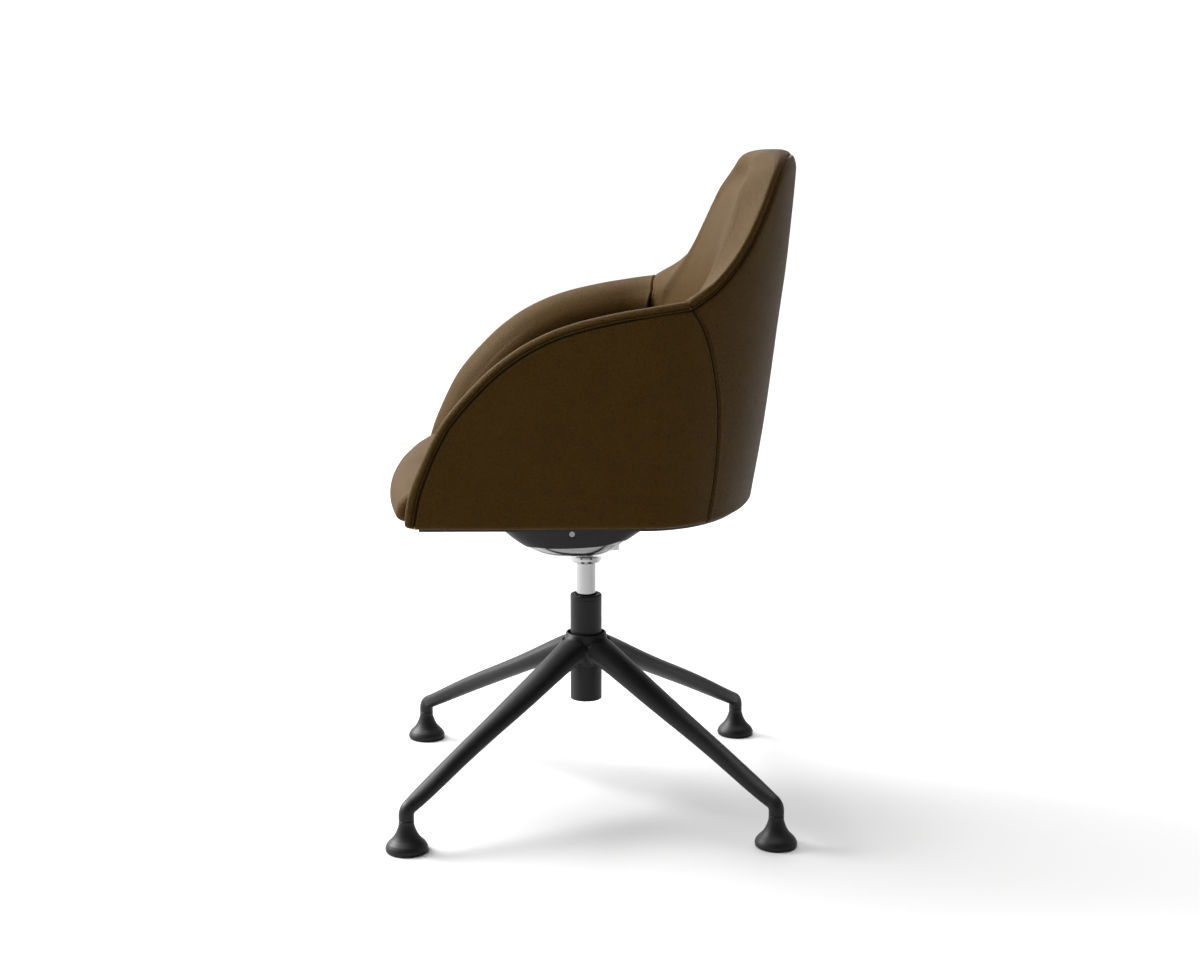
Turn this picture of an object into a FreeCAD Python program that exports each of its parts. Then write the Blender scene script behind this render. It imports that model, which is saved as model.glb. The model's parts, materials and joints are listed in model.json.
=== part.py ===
import FreeCAD, Part
import math
import os
import Sketcher
from FreeCAD import Vector, Placement, Rotation

# Four-legged swivel meeting chair with an upholstered tub seat.
# Frame: millimetres, floor at Z = 0, column axis on Z, the chair faces -Y.

doc = FreeCAD.newDocument("meeting_chair")
sheet = doc.addObject("Spreadsheet::Sheet", "Sizes")

SIZES = [
    # standing part
    ("foot_circle", 345.5),      # radius from the column axis to each foot
    ("glide_dia", 56.5),
    ("glide_neck_dia", 20.5),
    ("glide_top", 42.0),
    ("stem_dia", 8.0),
    ("hub_dia", 58.4),
    ("hub_recess_dia", 52.6),
    ("hub_top", 233.0),
    ("hub_bottom", 187.0),
    ("leg_root_z", 202.7),       # leg axis height 30 mm from the column axis
    ("leg_tip_z", 63.8),         # leg axis height 330 mm from the column axis
    ("leg_root_width", 48.0),
    ("leg_mid_width", 35.2),
    ("leg_height", 21.6),
    # gas column
    ("stand_dia", 45.0),
    ("stand_wall", 2.0),
    ("stand_bottom", 134.4),
    ("stand_top", 282.0),
    ("flange_top", 288.5),
    ("bush_bottom", 216.0),
    ("bush_bore", 28.8),
    ("press_dia", 28.0),
    ("press_bore", 24.4),
    ("press_bottom", 208.0),
    ("press_top", 388.0),
    ("taper_start", 336.0),
    ("taper_dia", 26.6),
    ("rod_dia", 10.0),
    ("rod_tail_dia", 8.0),
    ("piston_dia", 23.6),
    ("piston_bottom", 272.0),
    ("piston_top", 286.0),
    ("floor_low", 142.0),
    ("floor_high", 146.0),
    # carrier
    ("carrier_low", 334.0),
    ("carrier_flange_low", 426.0),
    ("carrier_flange_top", 434.0),
    ("bolt_x", 76.0),
    ("bolt_front", 92.0),
    ("bolt_rear", 66.0),
    ("bolt_dia", 8.0),
    # lever
    ("lever_ahead", 21.0),       # lever axis in front of the column axis
    ("lever_z", 385.5),
    ("lever_dia", 8.0),
    ("lever_hole", 9.2),
    ("lever_left_end", 56.0),
    ("lever_right_end", 172.0),
    # tub
    ("tub_half_width", 300.0),
    ("tub_front_half_width", 293.0),
    ("tub_oval_centre", 66.0),
    ("tub_bottom", 440.0),
    ("pan_low", 434.0),
    ("board_top", 454.0),
    ("skin", 5.0),
    ("core", 10.0),
    ("side_wall", 44.0),
    ("back_wall", 50.0),
    ("seat_crest", 486.0),
    ("seat_rear", 468.0),
    ("seat_nose", 277.0),
]
for i, (name, value) in enumerate(SIZES, 1):
    sheet.set("A%d" % i, name)
    sheet.set("B%d" % i, str(value))
    sheet.setAlias("B%d" % i, name)
doc.recompute()


def size(name):
    return float(sheet.get(name))


class Q:
    """A number together with the sheet expression that gives it."""

    def __init__(self, value, text):
        self.v = float(value)
        self.t = text

    def _mix(self, other, sign):
        o = other if isinstance(other, Q) else Q(other, repr(float(other)))
        return o, "(%s %s %s)" % (self.t, sign, o.t)

    def __add__(self, other):
        o, t = self._mix(other, "+")
        return Q(self.v + o.v, t)

    def __sub__(self, other):
        o, t = self._mix(other, "-")
        return Q(self.v - o.v, t)

    def __mul__(self, other):
        o, t = self._mix(other, "*")
        return Q(self.v * o.v, t)

    def __truediv__(self, other):
        o, t = self._mix(other, "/")
        return Q(self.v / o.v, t)


def q(name):
    return Q(size(name), "Sizes." + name)


def val(x):
    return x.v if isinstance(x, Q) else float(x)


def body(label):
    b = doc.addObject("PartDesign::Body", label)
    b.Label = label
    return b


def origin_plane(b, role):
    for f in b.Origin.OriginFeatures:
        if f.Role == role:
            return f
    raise RuntimeError("no plane " + role)


def sketch(b, role, name, up=0.0):
    s = b.newObject("Sketcher::SketchObject", name)
    s.AttachmentSupport = [(origin_plane(b, role), "")]
    s.MapMode = "FlatFace"
    if isinstance(up, Q):
        s.AttachmentOffset = Placement(Vector(0, 0, up.v), Rotation())
        s.setExpression("AttachmentOffset.Base.z", up.t)
    elif up:
        s.AttachmentOffset = Placement(Vector(0, 0, up), Rotation())
    return s


def hold(s, geo, pos, x, y):
    """Place one sketch point from the origin by two sizes."""
    for axis, kind, d in ((-2, "DistanceX", x), (-1, "DistanceY", y)):
        if abs(val(d)) < 1e-9:
            s.addConstraint(Sketcher.Constraint("PointOnObject", geo, pos, axis))
        else:
            c = s.addConstraint(Sketcher.Constraint(kind, -1, 1, geo, pos, val(d)))
            if isinstance(d, Q):
                s.setExpression("Constraints[%d]" % c, d.t)


def polygon(s, pts):
    n = len(pts)
    first = s.GeometryCount
    for i in range(n):
        a, b = pts[i], pts[(i + 1) % n]
        s.addGeometry(Part.LineSegment(Vector(val(a[0]), val(a[1]), 0), Vector(val(b[0]), val(b[1]), 0)), False)
    for i in range(n):
        s.addConstraint(Sketcher.Constraint("Coincident", first + i, 2, first + (i + 1) % n, 1))
    for i in range(n):
        hold(s, first + i, 1, pts[i][0], pts[i][1])


def circle(s, x, y, dia):
    g = s.addGeometry(Part.Circle(Vector(val(x), val(y), 0), Vector(0, 0, 1), val(dia) / 2), False)
    hold(s, g, 3, x, y)
    c = s.addConstraint(Sketcher.Constraint("Diameter", g, val(dia)))
    if isinstance(dia, Q):
        s.setExpression("Constraints[%d]" % c, dia.t)
    return g


def revolve(b, pts, name="profile"):
    s = sketch(b, "XZ_Plane", name)
    polygon(s, pts)
    r = b.newObject("PartDesign::Revolution", name + "_turned")
    r.Profile = s
    r.ReferenceAxis = (s, ["V_Axis"])
    r.Angle = 360
    s.Visibility = False
    return r


def turned(label, pts):
    b = body(label)
    revolve(b, pts)
    doc.recompute()
    return b


def made(label, shape):
    """A cast, moulded or padded piece whose double-curved shape is built from the sheet."""
    o = doc.addObject("Part::Feature", label)
    o.Label = label
    s = shape
    if s.ShapeType == "Compound" and len(s.Solids) == 1:
        s = s.Solids[0]
    o.Shape = s
    o.Placement = Placement(Vector(0, 0, 0), Rotation())
    return o


NODES = []

# ---------------------------------------------------------------- star base
base = body("star_base")
hub_r = q("hub_dia") / 2
revolve(base, [
    (q("stand_dia") / 2, q("hub_bottom")),
    (hub_r + 0.5, q("hub_bottom")),
    (hub_r + 3.0, q("hub_bottom") + 3.0),
    (hub_r + 3.0, q("hub_bottom") + 14.0),
    (hub_r + 1.6, q("hub_bottom") + 22.0),
    (hub_r + 0.5, q("hub_bottom") + 29.0),
    (hub_r, q("hub_bottom") + 36.0),
    (hub_r, q("hub_top") - 1.5),
    (hub_r - 1.5, q("hub_top")),
    (q("hub_recess_dia") / 2 + 0.6, q("hub_top")),
    (q("hub_recess_dia") / 2, q("hub_top") - 0.6),
    (q("hub_recess_dia") / 2, q("hub_top") - 14.0),
    (q("stand_dia") / 2, q("hub_top") - 17.0),
], "hub")
doc.recompute()

# One leg along +X: oval sections square to the leg axis, wide at the hub.
slope = math.atan2(size("leg_tip_z") - size("leg_root_z"), 300.0)


def leg_axis_z(r):
    t = (r - 30.0) / 300.0
    return size("leg_root_z") + (size("leg_tip_z") - size("leg_root_z")) * t + 6.8 * t * (1 - t)


BEND = 12.0
TIP_R = size("foot_circle") - BEND * (1 + math.sin(slope))
sections = []
# distance from the column axis, rise of the oval's centre over the axis line, width, height
STATIONS = [
    (22.0, 5.0, q("leg_root_width") * 1.14, q("leg_height") * 1.6),
    (46.0, 5.3, q("leg_root_width") * 0.995, q("leg_height") * 1.52),
    (90.0, 3.9, q("leg_root_width") * 0.925, q("leg_height") * 1.345),
    (180.0, 2.1, q("leg_mid_width"), q("leg_height") * 1.175),
    (255.0, 1.5, q("leg_mid_width") * 0.79, q("leg_height") * 1.11),
    (TIP_R, 0.0, q("glide_neck_dia"), q("glide_neck_dia")),
]
for i, (r, rise, wide, tall) in enumerate(STATIONS):
    s = base.newObject("Sketcher::SketchObject", "leg_oval_%d" % i)
    s.AttachmentSupport = [(origin_plane(base, "YZ_Plane"), "")]
    s.MapMode = "FlatFace"
    # turned about the sketch's own X so the oval stands square to the leg axis
    s.AttachmentOffset = Placement(Vector(0, leg_axis_z(r) + rise, r), Rotation(Vector(1, 0, 0), -math.degrees(slope)))
    if i < len(STATIONS) - 1:
        e = s.addGeometry(Part.Ellipse(Vector(wide.v / 2, 0, 0), Vector(0, tall.v / 2, 0), Vector(0, 0, 0)), False)
        s.exposeInternalGeometry(e)
        s.addConstraint(Sketcher.Constraint("Coincident", e, 3, -1, 1))
        ends = [g for g in range(s.GeometryCount) if g != e and isinstance(s.Geometry[g], Part.LineSegment)]
        s.addConstraint(Sketcher.Constraint("PointOnObject", ends[0], 1, -1))
        for g, d in ((ends[0], wide), (ends[1], tall)):
            c = s.addConstraint(Sketcher.Constraint("Distance", g, 1, g, 2, d.v))
            s.setExpression("Constraints[%d]" % c, d.t)
    else:
        e = circle(s, 0, 0, wide)
    s.Visibility = False
    sections.append(s)
doc.recompute()
leg = base.newObject("PartDesign::AdditiveLoft", "leg")
leg.Profile = sections[0]
leg.Sections = sections[1:]
leg.Ruled = False
doc.recompute()

# The leg end bends down into an upright stub above the glide.
tip_r, tip_z, bend = TIP_R, leg_axis_z(TIP_R), BEND
dirx, dirz = math.cos(slope), math.sin(slope)
path = base.newObject("Sketcher::SketchObject", "bend_path")
path.AttachmentSupport = [(origin_plane(base, "XZ_Plane"), "")]
path.MapMode = "FlatFace"
cx, cz = tip_r + dirz * bend, tip_z - dirx * bend
a_from = math.pi / 2 + slope
arc = path.addGeometry(Part.ArcOfCircle(Part.Circle(Vector(cx, cz, 0), Vector(0, 0, 1), bend), 0.0, a_from), False)
line = path.addGeometry(Part.LineSegment(Vector(cx + bend, cz, 0), Vector(cx + bend, size("glide_top"), 0)), False)
path.addConstraint(Sketcher.Constraint("Coincident", arc, 1, line, 1))
path.addConstraint(Sketcher.Constraint("Vertical", line))
hold(path, line, 2, q("foot_circle"), q("glide_top"))
path.Visibility = False
doc.recompute()
stub = base.newObject("PartDesign::AdditivePipe", "leg_end")
stub.Profile = sections[-1]
stub.Spine = (path, [])
doc.recompute()
around = base.newObject("PartDesign::PolarPattern", "four_legs")
around.Originals = [leg, stub]
for f in base.Origin.OriginFeatures:
    if f.Role == "Z_Axis":
        around.Axis = (f, [""])
around.Angle = 360
around.Occurrences = 4
base.Tip = around
doc.recompute()
# bore through the hub for the column, cleared of the leg roots, and holes for the glide stems
s = sketch(base, "XY_Plane", "column_bore", q("hub_top"))
circle(s, 0, 0, q("stand_dia"))
bore = base.newObject("PartDesign::Pocket", "column_hole")
bore.Profile = s
bore.Type = "ThroughAll"
bore.SideType = "Symmetric"
s.Visibility = False
base.Tip = bore
doc.recompute()
# the recess round the column and the flat rim, cleared of the leg roots
s = sketch(base, "XZ_Plane", "rim_recess")
polygon(s, [
    (q("stand_dia") / 2, q("hub_top") - 17.0),
    (q("hub_recess_dia") / 2, q("hub_top") - 14.0),
    (q("hub_recess_dia") / 2, q("hub_top") - 0.6),
    (q("hub_recess_dia") / 2 + 0.6, q("hub_top")),
    (hub_r + 12.0, q("hub_top")),
    (hub_r + 12.0, q("hub_top") + 12.0),
    (q("stand_dia") / 2, q("hub_top") + 12.0),
])
recess = base.newObject("PartDesign::Groove", "rim_recess_cut")
recess.Profile = s
recess.ReferenceAxis = (s, ["V_Axis"])
recess.Angle = 360
s.Visibility = False
base.Tip = recess
doc.recompute()
s = sketch(base, "XY_Plane", "stem_seats", q("glide_top"))
for k in range(4):
    a = k * math.pi / 2
    circle(s, q("foot_circle") * round(math.cos(a)), q("foot_circle") * round(math.sin(a)), q("stem_dia"))
holes = base.newObject("PartDesign::Pocket", "stem_holes")
holes.Profile = s
holes.Length = 20.0
holes.Reversed = True
s.Visibility = False
base.Tip = holes
base.Placement = Placement(Vector(0, 0, 0), Rotation(Vector(0, 0, 1), 45))
doc.recompute()
NODES.append(base)

# ---------------------------------------------------------------- glides
FEET = [("front_left", 1, -1), ("front_right", -1, -1), ("rear_left", 1, 1), ("rear_right", -1, 1)]
for name, sx, sy in FEET:
    g = body("glide_" + name)
    r0 = q("glide_dia") / 2
    neck = q("glide_neck_dia") / 2
    revolve(g, [
        (0, 0), (r0 - 2.6, 0), (r0 - 1.0, 0.9), (r0 - 0.2, 2.6), (r0, 4.6), (r0 - 0.35, 6.8), (r0 - 1.5, 9.2),
        (r0 - 3.3, 11.9), (r0 - 6.1, 14.7), (r0 - 8.9, 17.5), (r0 - 11.0, 20.2), (r0 - 12.8, 23.0),
        (r0 - 14.2, 25.7), (r0 - 15.4, 28.5), (r0 - 17.0, 33.0), (neck, 37.0), (neck, q("glide_top") - 0.5),
        (neck - 0.5, q("glide_top")), (q("stem_dia") / 2, q("glide_top")), (q("stem_dia") / 2, 14.0), (0, 14.0),
    ])
    d = size("foot_circle") / math.sqrt(2)
    g.Placement = Placement(Vector(sx * d, sy * d, 0), Rotation())
    NODES.append(g)
doc.recompute()

# steel pins that hold the glides, pressed into legs and glides
pins = []
for name, sx, sy in FEET:
    c = doc.addObject("Part::Cylinder", "stem_" + name)
    c.setExpression("Radius", "Sizes.stem_dia / 2")
    c.setExpression("Height", "Sizes.glide_top + 16 - 14.5")
    c.setExpression("Placement.Base.x", "%d * Sizes.foot_circle / sqrt(2)" % sx)
    c.setExpression("Placement.Base.y", "%d * Sizes.foot_circle / sqrt(2)" % sy)
    c.setExpression("Placement.Base.z", "14.5")
    pins.append(c)
stems = doc.addObject("Part::Compound", "glide_stems")
stems.Label = "glide_stems"
stems.Links = pins
doc.recompute()
NODES.append(stems)

# ---------------------------------------------------------------- gas column
stand_r = q("stand_dia") / 2
stand_in = stand_r - q("stand_wall")
NODES.append(turned("column_stand_tube", [
    (stand_in, q("stand_bottom")), (stand_r - 0.6, q("stand_bottom")), (stand_r, q("stand_bottom") + 0.6),
    (stand_r, q("stand_top") - 0.4), (stand_r - 0.4, q("stand_top")), (stand_in, q("stand_top")),
    (stand_in, q("floor_high")), (q("rod_tail_dia") / 2 + 0.5, q("floor_high")),
    (q("rod_tail_dia") / 2 + 0.5, q("floor_low")), (stand_in, q("floor_low")),
]))
NODES.append(turned("column_guide_bush", [
    (q("bush_bore") / 2, q("bush_bottom")), (stand_in, q("bush_bottom")), (stand_in, q("stand_top")),
    (stand_r - 0.4, q("stand_top")), (stand_r, q("stand_top") + 0.4), (stand_r, q("flange_top") - 2.2),
    (stand_r - 0.5, q("flange_top") - 0.9), (stand_r - 1.6, q("flange_top")),
    (q("bush_bore") / 2 + 3.2, q("flange_top")), (q("bush_bore") / 2 + 1.6, q("flange_top") - 1.0),
    (q("bush_bore") / 2, q("flange_top") - 3.0),
]))
race_in = q("rod_tail_dia") / 2 + 0.6
NODES.append(turned("bearing_lower_race", [
    (race_in, q("floor_high")), (12.5, q("floor_high")), (12.5, q("floor_high") + 2.0), (race_in, q("floor_high") + 2.0)]))
NODES.append(turned("bearing_ball_cage", [
    (race_in, q("floor_high") + 2.0), (12.0, q("floor_high") + 2.0), (12.0, q("floor_high") + 5.0), (race_in, q("floor_high") + 5.0)]))
NODES.append(turned("bearing_upper_race", [
    (q("rod_tail_dia") / 2, q("floor_high") + 5.4), (13.0, q("floor_high") + 5.4), (13.0, q("floor_high") + 7.4),
    (q("rod_tail_dia") / 2, q("floor_high") + 7.4)]))
NODES.append(turned("end_stop_bumper", [
    (q("rod_dia") / 2, q("floor_high") + 7.4), (12.5, q("floor_high") + 7.4), (12.5, q("floor_high") + 16.0),
    (10.5, q("floor_high") + 18.0), (q("rod_dia") / 2, q("floor_high") + 18.0)]))
NODES.append(turned("piston_rod", [
    (0, q("floor_low") - 5.0), (q("rod_tail_dia") / 2, q("floor_low") - 5.0), (q("rod_tail_dia") / 2, q("floor_low") - 3.0),
    (q("rod_tail_dia") / 2 - 1.0, q("floor_low") - 3.0), (q("rod_tail_dia") / 2 - 1.0, q("floor_low") - 1.6),
    (q("rod_tail_dia") / 2, q("floor_low") - 1.6), (q("rod_tail_dia") / 2, q("floor_high") + 7.4),
    (q("rod_dia") / 2, q("floor_high") + 7.4), (q("rod_dia") / 2, q("piston_bottom")),
    (q("rod_tail_dia") / 2, q("piston_bottom")), (q("rod_tail_dia") / 2, q("piston_top") + 2.0), (0, q("piston_top") + 2.0)]))
NODES.append(turned("rod_clip", [
    (q("rod_tail_dia") / 2 - 1.0, q("floor_low") - 3.0), (9.0, q("floor_low") - 3.0), (9.0, q("floor_low") - 1.6),
    (q("rod_tail_dia") / 2 - 1.0, q("floor_low") - 1.6)]))
NODES.append(turned("piston", [
    (q("rod_tail_dia") / 2, q("piston_bottom")), (q("piston_dia") / 2, q("piston_bottom")),
    (q("piston_dia") / 2, q("piston_bottom") + 5.0), (q("piston_dia") / 2 - 1.6, q("piston_bottom") + 5.0),
    (q("piston_dia") / 2 - 1.6, q("piston_bottom") + 9.0), (q("piston_dia") / 2, q("piston_bottom") + 9.0),
    (q("piston_dia") / 2, q("piston_top")), (q("rod_tail_dia") / 2, q("piston_top"))]))
press_in = q("press_bore") / 2
NODES.append(turned("pressure_tube", [
    (press_in, q("press_bottom")), (q("press_dia") / 2 - 0.8, q("press_bottom")), (q("press_dia") / 2, q("press_bottom") + 0.8),
    (q("press_dia") / 2, q("taper_start")), (q("taper_dia") / 2, q("press_top")), (press_in, q("press_top"))]))
NODES.append(turned("rod_gland", [
    (q("rod_dia") / 2 + 0.4, q("press_bottom") + 1.0), (press_in, q("press_bottom") + 1.0),
    (press_in, q("press_bottom") + 18.0), (q("rod_dia") / 2 + 0.4, q("press_bottom") + 18.0)]))
NODES.append(turned("valve_body", [
    (0, q("press_top") - 40.0), (press_in, q("press_top") - 40.0), (press_in, q("press_top") - 0.5),
    (3.1, q("press_top") - 0.5), (3.1, q("press_top") - 30.0), (0, q("press_top") - 30.0)]))
NODES.append(turned("release_button", [
    (0, q("press_top") - 25.0), (2.6, q("press_top") - 25.0), (2.6, q("press_top") + 3.4), (4.4, q("press_top") + 3.4),
    (4.4, q("press_top") + 6.66), (3.6, q("press_top") + 7.14), (2.6, q("press_top") + 7.57), (1.4, q("press_top") + 7.88),
    (0, q("press_top") + 8.0)]))
doc.recompute()


# ---------------------------------------------------------------- helpers for cast and padded shapes
def bspline(points):
    c = Part.BSplineCurve()
    c.interpolate([Vector(*p) for p in points])
    return c.toShape()


def boat_wire(z, y0, y1, half, power=3.2, n=36):
    """Closed rounded outline at height z: from y0 to y1, half as wide each side."""
    yc, ry = (y0 + y1) / 2, (y1 - y0) / 2
    pts = []
    for k in range(n):
        a = 2 * math.pi * k / n
        c, s_ = math.cos(a), math.sin(a)
        pts.append(Vector(half * math.copysign(abs(c) ** (2 / power), c), yc + ry * math.copysign(abs(s_) ** (2 / power), s_), z))
    c = Part.BSplineCurve()
    c.interpolate(pts, PeriodicFlag=True)
    return Part.Wire([c.toShape()])


def boat(levels, inset=0.0):
    wires = [boat_wire(z, y0 + inset, y1 - inset, half - inset) for z, y0, y1, half in levels]
    return Part.makeLoft(wires, True, False)


def yz_prism(points, x0, x1, curved=None):
    """Solid from a closed side-view outline; 'curved' lists how many leading points run as one smooth curve."""
    pts = [(x0, y, z) for y, z in points]
    edges = []
    if curved:
        edges.append(bspline(pts[:curved]))
        rest = pts[curved - 1:] + [pts[0]]
    else:
        rest = pts + [pts[0]]
    for a, b in zip(rest[:-1], rest[1:]):
        edges.append(Part.makeLine(Vector(*a), Vector(*b)))
    return Part.Face(Part.Wire(edges)).extrude(Vector(x1 - x0, 0, 0))


def xz_prism(points, y0, y1, curved=None):
    pts = [(x, y0, z) for x, z in points]
    edges = []
    if curved:
        edges.append(bspline(pts[:curved]))
        rest = pts[curved - 1:] + [pts[0]]
    else:
        rest = pts + [pts[0]]
    for a, b in zip(rest[:-1], rest[1:]):
        edges.append(Part.makeLine(Vector(*a), Vector(*b)))
    return Part.Face(Part.Wire(edges)).extrude(Vector(0, y1 - y0, 0))


def turned_solid(points):
    edges = []
    loop = points + [points[0]]
    for (r0, z0), (r1, z1) in zip(loop[:-1], loop[1:]):
        edges.append(Part.makeLine(Vector(r0, 0, z0), Vector(r1, 0, z1)))
    return Part.Face(Part.Wire(edges)).revolve(Vector(0, 0, 0), Vector(0, 0, 1), 360)


def slab(x0, x1, y0, y1, z0, z1, radius=0.0):
    b = Part.makeBox(x1 - x0, y1 - y0, z1 - z0, Vector(x0, y0, z0))
    if radius:
        b = b.makeFillet(radius, [e for e in b.Edges if abs(e.BoundBox.ZLength - (z1 - z0)) < 1e-6 and e.BoundBox.DiagonalLength < (z1 - z0) + 1e-3])
    return b


# ---------------------------------------------------------------- carrier casting and its two covers
HULL = [
    (347.0, -40.0, 24.0, 27.0),
    (350.0, -58.0, 29.0, 40.0),
    (356.0, -74.0, 38.0, 50.0),
    (362.0, -86.0, 47.0, 54.5),
    (368.0, -96.0, 55.0, 57.0),
    (380.0, -112.0, 73.0, 59.0),
    (392.0, -125.0, 89.0, 60.0),
    (404.0, -137.0, 102.0, 61.0),
    (416.0, -149.0, 112.0, 62.2),
    (426.0, -158.5, 119.0, 63.2),
    (size("carrier_flange_top"), -166.0, 124.0, 64.0),
]
hull = boat(HULL)
hull_in = boat(HULL[3:], 3.0)
PART_LINE = [(-150.0, 300.0), (-120.0, 325.0), (-100.0, 350.0), (-88.0, 362.5), (-76.0, 365.6), (-60.0, 365.4), (-37.0, 365.0),
             (-8.0, 365.8), (20.0, 368.0), (40.0, 371.8), (52.0, 373.0), (62.0, 369.0), (76.0, 355.0), (95.0, 330.0), (120.0, 300.0)]
under = yz_prism(PART_LINE, -120.0, 120.0, curved=len(PART_LINE))
above = yz_prism(PART_LINE + [(220.0, 300.0), (220.0, 500.0), (-250.0, 500.0), (-250.0, 300.0)], -120.0, 120.0, curved=len(PART_LINE))
low, ftop, flow = size("carrier_low"), size("carrier_flange_top"), size("carrier_flange_low")
boss = turned_solid([
    (0, low), (17.0, low), (20.6, low + 1.6), (22.4, low + 4.6), (23.0, low + 7.6), (24.4, low + 10.6), (27.4, low + 13.6),
    (31.5, low + 15.6), (33.0, low + 30.0), (20.5, low + 44.0), (0, low + 44.0)])
pillar = slab(-46.0, 46.0, -60.0, 46.0, 360.0, flow + 1.0, 10.0)
flange = slab(-96.0, 96.0, -114.0, 88.0, flow, ftop, 22.0)
cavity = slab(-38.0, 38.0, -52.0, 38.0, 378.2, flow - 0.5, 8.0)
carrier = hull.common(under).fuse([pillar, boss]).fuse(flange)
carrier = carrier.cut(cavity)
seat_top = size("press_top")
t0, t1 = size("taper_start"), seat_top
r0, r1 = size("press_dia") / 2, size("taper_dia") / 2
socket = turned_solid([(0, low - 1.0), (r0, low - 1.0), (r0, t0), (r1, t1), (0, t1)])
carrier = carrier.cut(socket)
ahead, lz = size("lever_ahead"), size("lever_z")
cross = Part.makeCylinder(size("lever_hole") / 2, 140.0, Vector(-70.0, -ahead, lz), Vector(1, 0, 0))
carrier = carrier.cut(cross)
BOLTS = [(sx * size("bolt_x"), y) for sx in (1, -1) for y in (-size("bolt_front"), size("bolt_rear"))]
for x, y in BOLTS:
    carrier = carrier.cut(Part.makeCylinder(size("bolt_dia") / 2 + 0.3, 20.0, Vector(x, y, flow - 6.0)))
NODES.append(made("seat_carrier", carrier.removeSplitter()))

shroud = hull.cut(hull_in).common(above).cut(slab(-97.0, 97.0, -115.0, 89.0, flow - 0.6, 500.0)).cut(slab(-200.0, 200.0, -250.0, 250.0, ftop - 0.4, 500.0))
shroud = shroud.cut(carrier)
lever_hole = Part.makeCylinder(5.0, 160.0, Vector(-80.0, -ahead, lz), Vector(1, 0, 0))
shroud = shroud.cut(lever_hole)
left_half = shroud.common(Part.makeBox(200, 600, 300, Vector(0.15, -300, 300)))
right_half = shroud.common(Part.makeBox(200, 600, 300, Vector(-200.15, -300, 300)))
NODES.append(made("carrier_cover_left", left_half))
NODES.append(made("carrier_cover_right", right_half))

# ---------------------------------------------------------------- height lever
rod = doc.addObject("Part::Cylinder", "lever_rod")
rod.Label = "lever_rod"
rod.setExpression("Radius", "Sizes.lever_dia / 2")
rod.setExpression("Height", "Sizes.lever_left_end + Sizes.lever_right_end")
rod.Placement = Placement(Vector(-size("lever_right_end"), -ahead, lz), Rotation(Vector(0, 1, 0), 90))
rod.setExpression("Placement.Base.x", "-Sizes.lever_right_end")
rod.setExpression("Placement.Base.y", "-Sizes.lever_ahead")
rod.setExpression("Placement.Base.z", "Sizes.lever_z")
NODES.append(rod)

finger = body("lever_finger")
s = sketch(finger, "YZ_Plane", "side")
a_, z_ = q("lever_ahead"), q("lever_z")
neg = Q(0, "0")
polygon(s, [
    (neg - a_ - 7.0, z_ - 6.0), (neg - a_ + 6.2, z_ - 6.0), (neg - a_ + 6.2, z_ + 11.0), (Q(5.5, "5.5"), z_ + 11.0),
    (Q(5.5, "5.5"), z_ + 16.0), (neg - a_ - 3.0, z_ + 16.0), (neg - a_ - 7.0, z_ + 12.0)])
p = finger.newObject("PartDesign::Pad", "thickness")
p.Profile = s
p.Length = 12.0
p.SideType = "Symmetric"
s.Visibility = False
doc.recompute()
s = sketch(finger, "YZ_Plane", "rod_hole")
circle(s, neg - a_, z_, q("lever_dia"))
h_ = finger.newObject("PartDesign::Pocket", "rod_bore")
h_.Profile = s
h_.Type = "ThroughAll"
h_.SideType = "Symmetric"
s.Visibility = False
finger.Tip = h_
doc.recompute()
NODES.append(finger)

handle = body("lever_handle")
s = sketch(handle, "XY_Plane", "outline", q("lever_z") - 5.5)
right = Q(0, "0") - q("lever_right_end")
polygon(s, [
    (right + 28.0, neg - a_ + 8.0), (right - 22.0, neg - a_ + 8.0), (right - 40.0, neg - a_ + 2.0), (right - 46.0, neg - a_ - 14.0),
    (right - 42.0, neg - a_ - 34.0), (right - 30.0, neg - a_ - 44.0), (right - 6.0, neg - a_ - 44.0), (right + 8.0, neg - a_ - 32.0),
    (right + 16.0, neg - a_ - 16.0), (right + 28.0, neg - a_ - 8.0)])
p = handle.newObject("PartDesign::Pad", "thickness")
p.Profile = s
p.Length = 11.0
s.Visibility = False
doc.recompute()
rim = [("Edge%d" % i) for i, e in enumerate(p.Shape.Edges, 1) if e.BoundBox.ZLength < 1e-6]
f = handle.newObject("PartDesign::Fillet", "soft_rim")
f.Base = (p, rim)
f.Radius = 1.2
doc.recompute()
s = sketch(handle, "YZ_Plane", "rod_hole", right + 28.0)
circle(s, neg - a_, z_, q("lever_dia"))
h_ = handle.newObject("PartDesign::Pocket", "rod_bore")
h_.Profile = s
h_.Length = 28.0
s.Visibility = False
handle.Tip = h_
doc.recompute()
NODES.append(handle)

# ---------------------------------------------------------------- tub walls
HALF, FRONT_HALF, YC = size("tub_half_width"), size("tub_front_half_width"), size("tub_oval_centre")
BOTTOM, YF = size("tub_bottom"), -262.0
# height and rear depth of the oval behind its centre
REAR = [(425.0, 158.5), (470.0, 166.5), (510.0, 173.6), (550.0, 179.6), (595.0, 185.6), (640.0, 191.6), (685.0, 197.2),
        (720.0, 201.8), (775.0, 208.6), (820.0, 213.2), (860.0, 216.6), (925.0, 219.6)]


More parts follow.
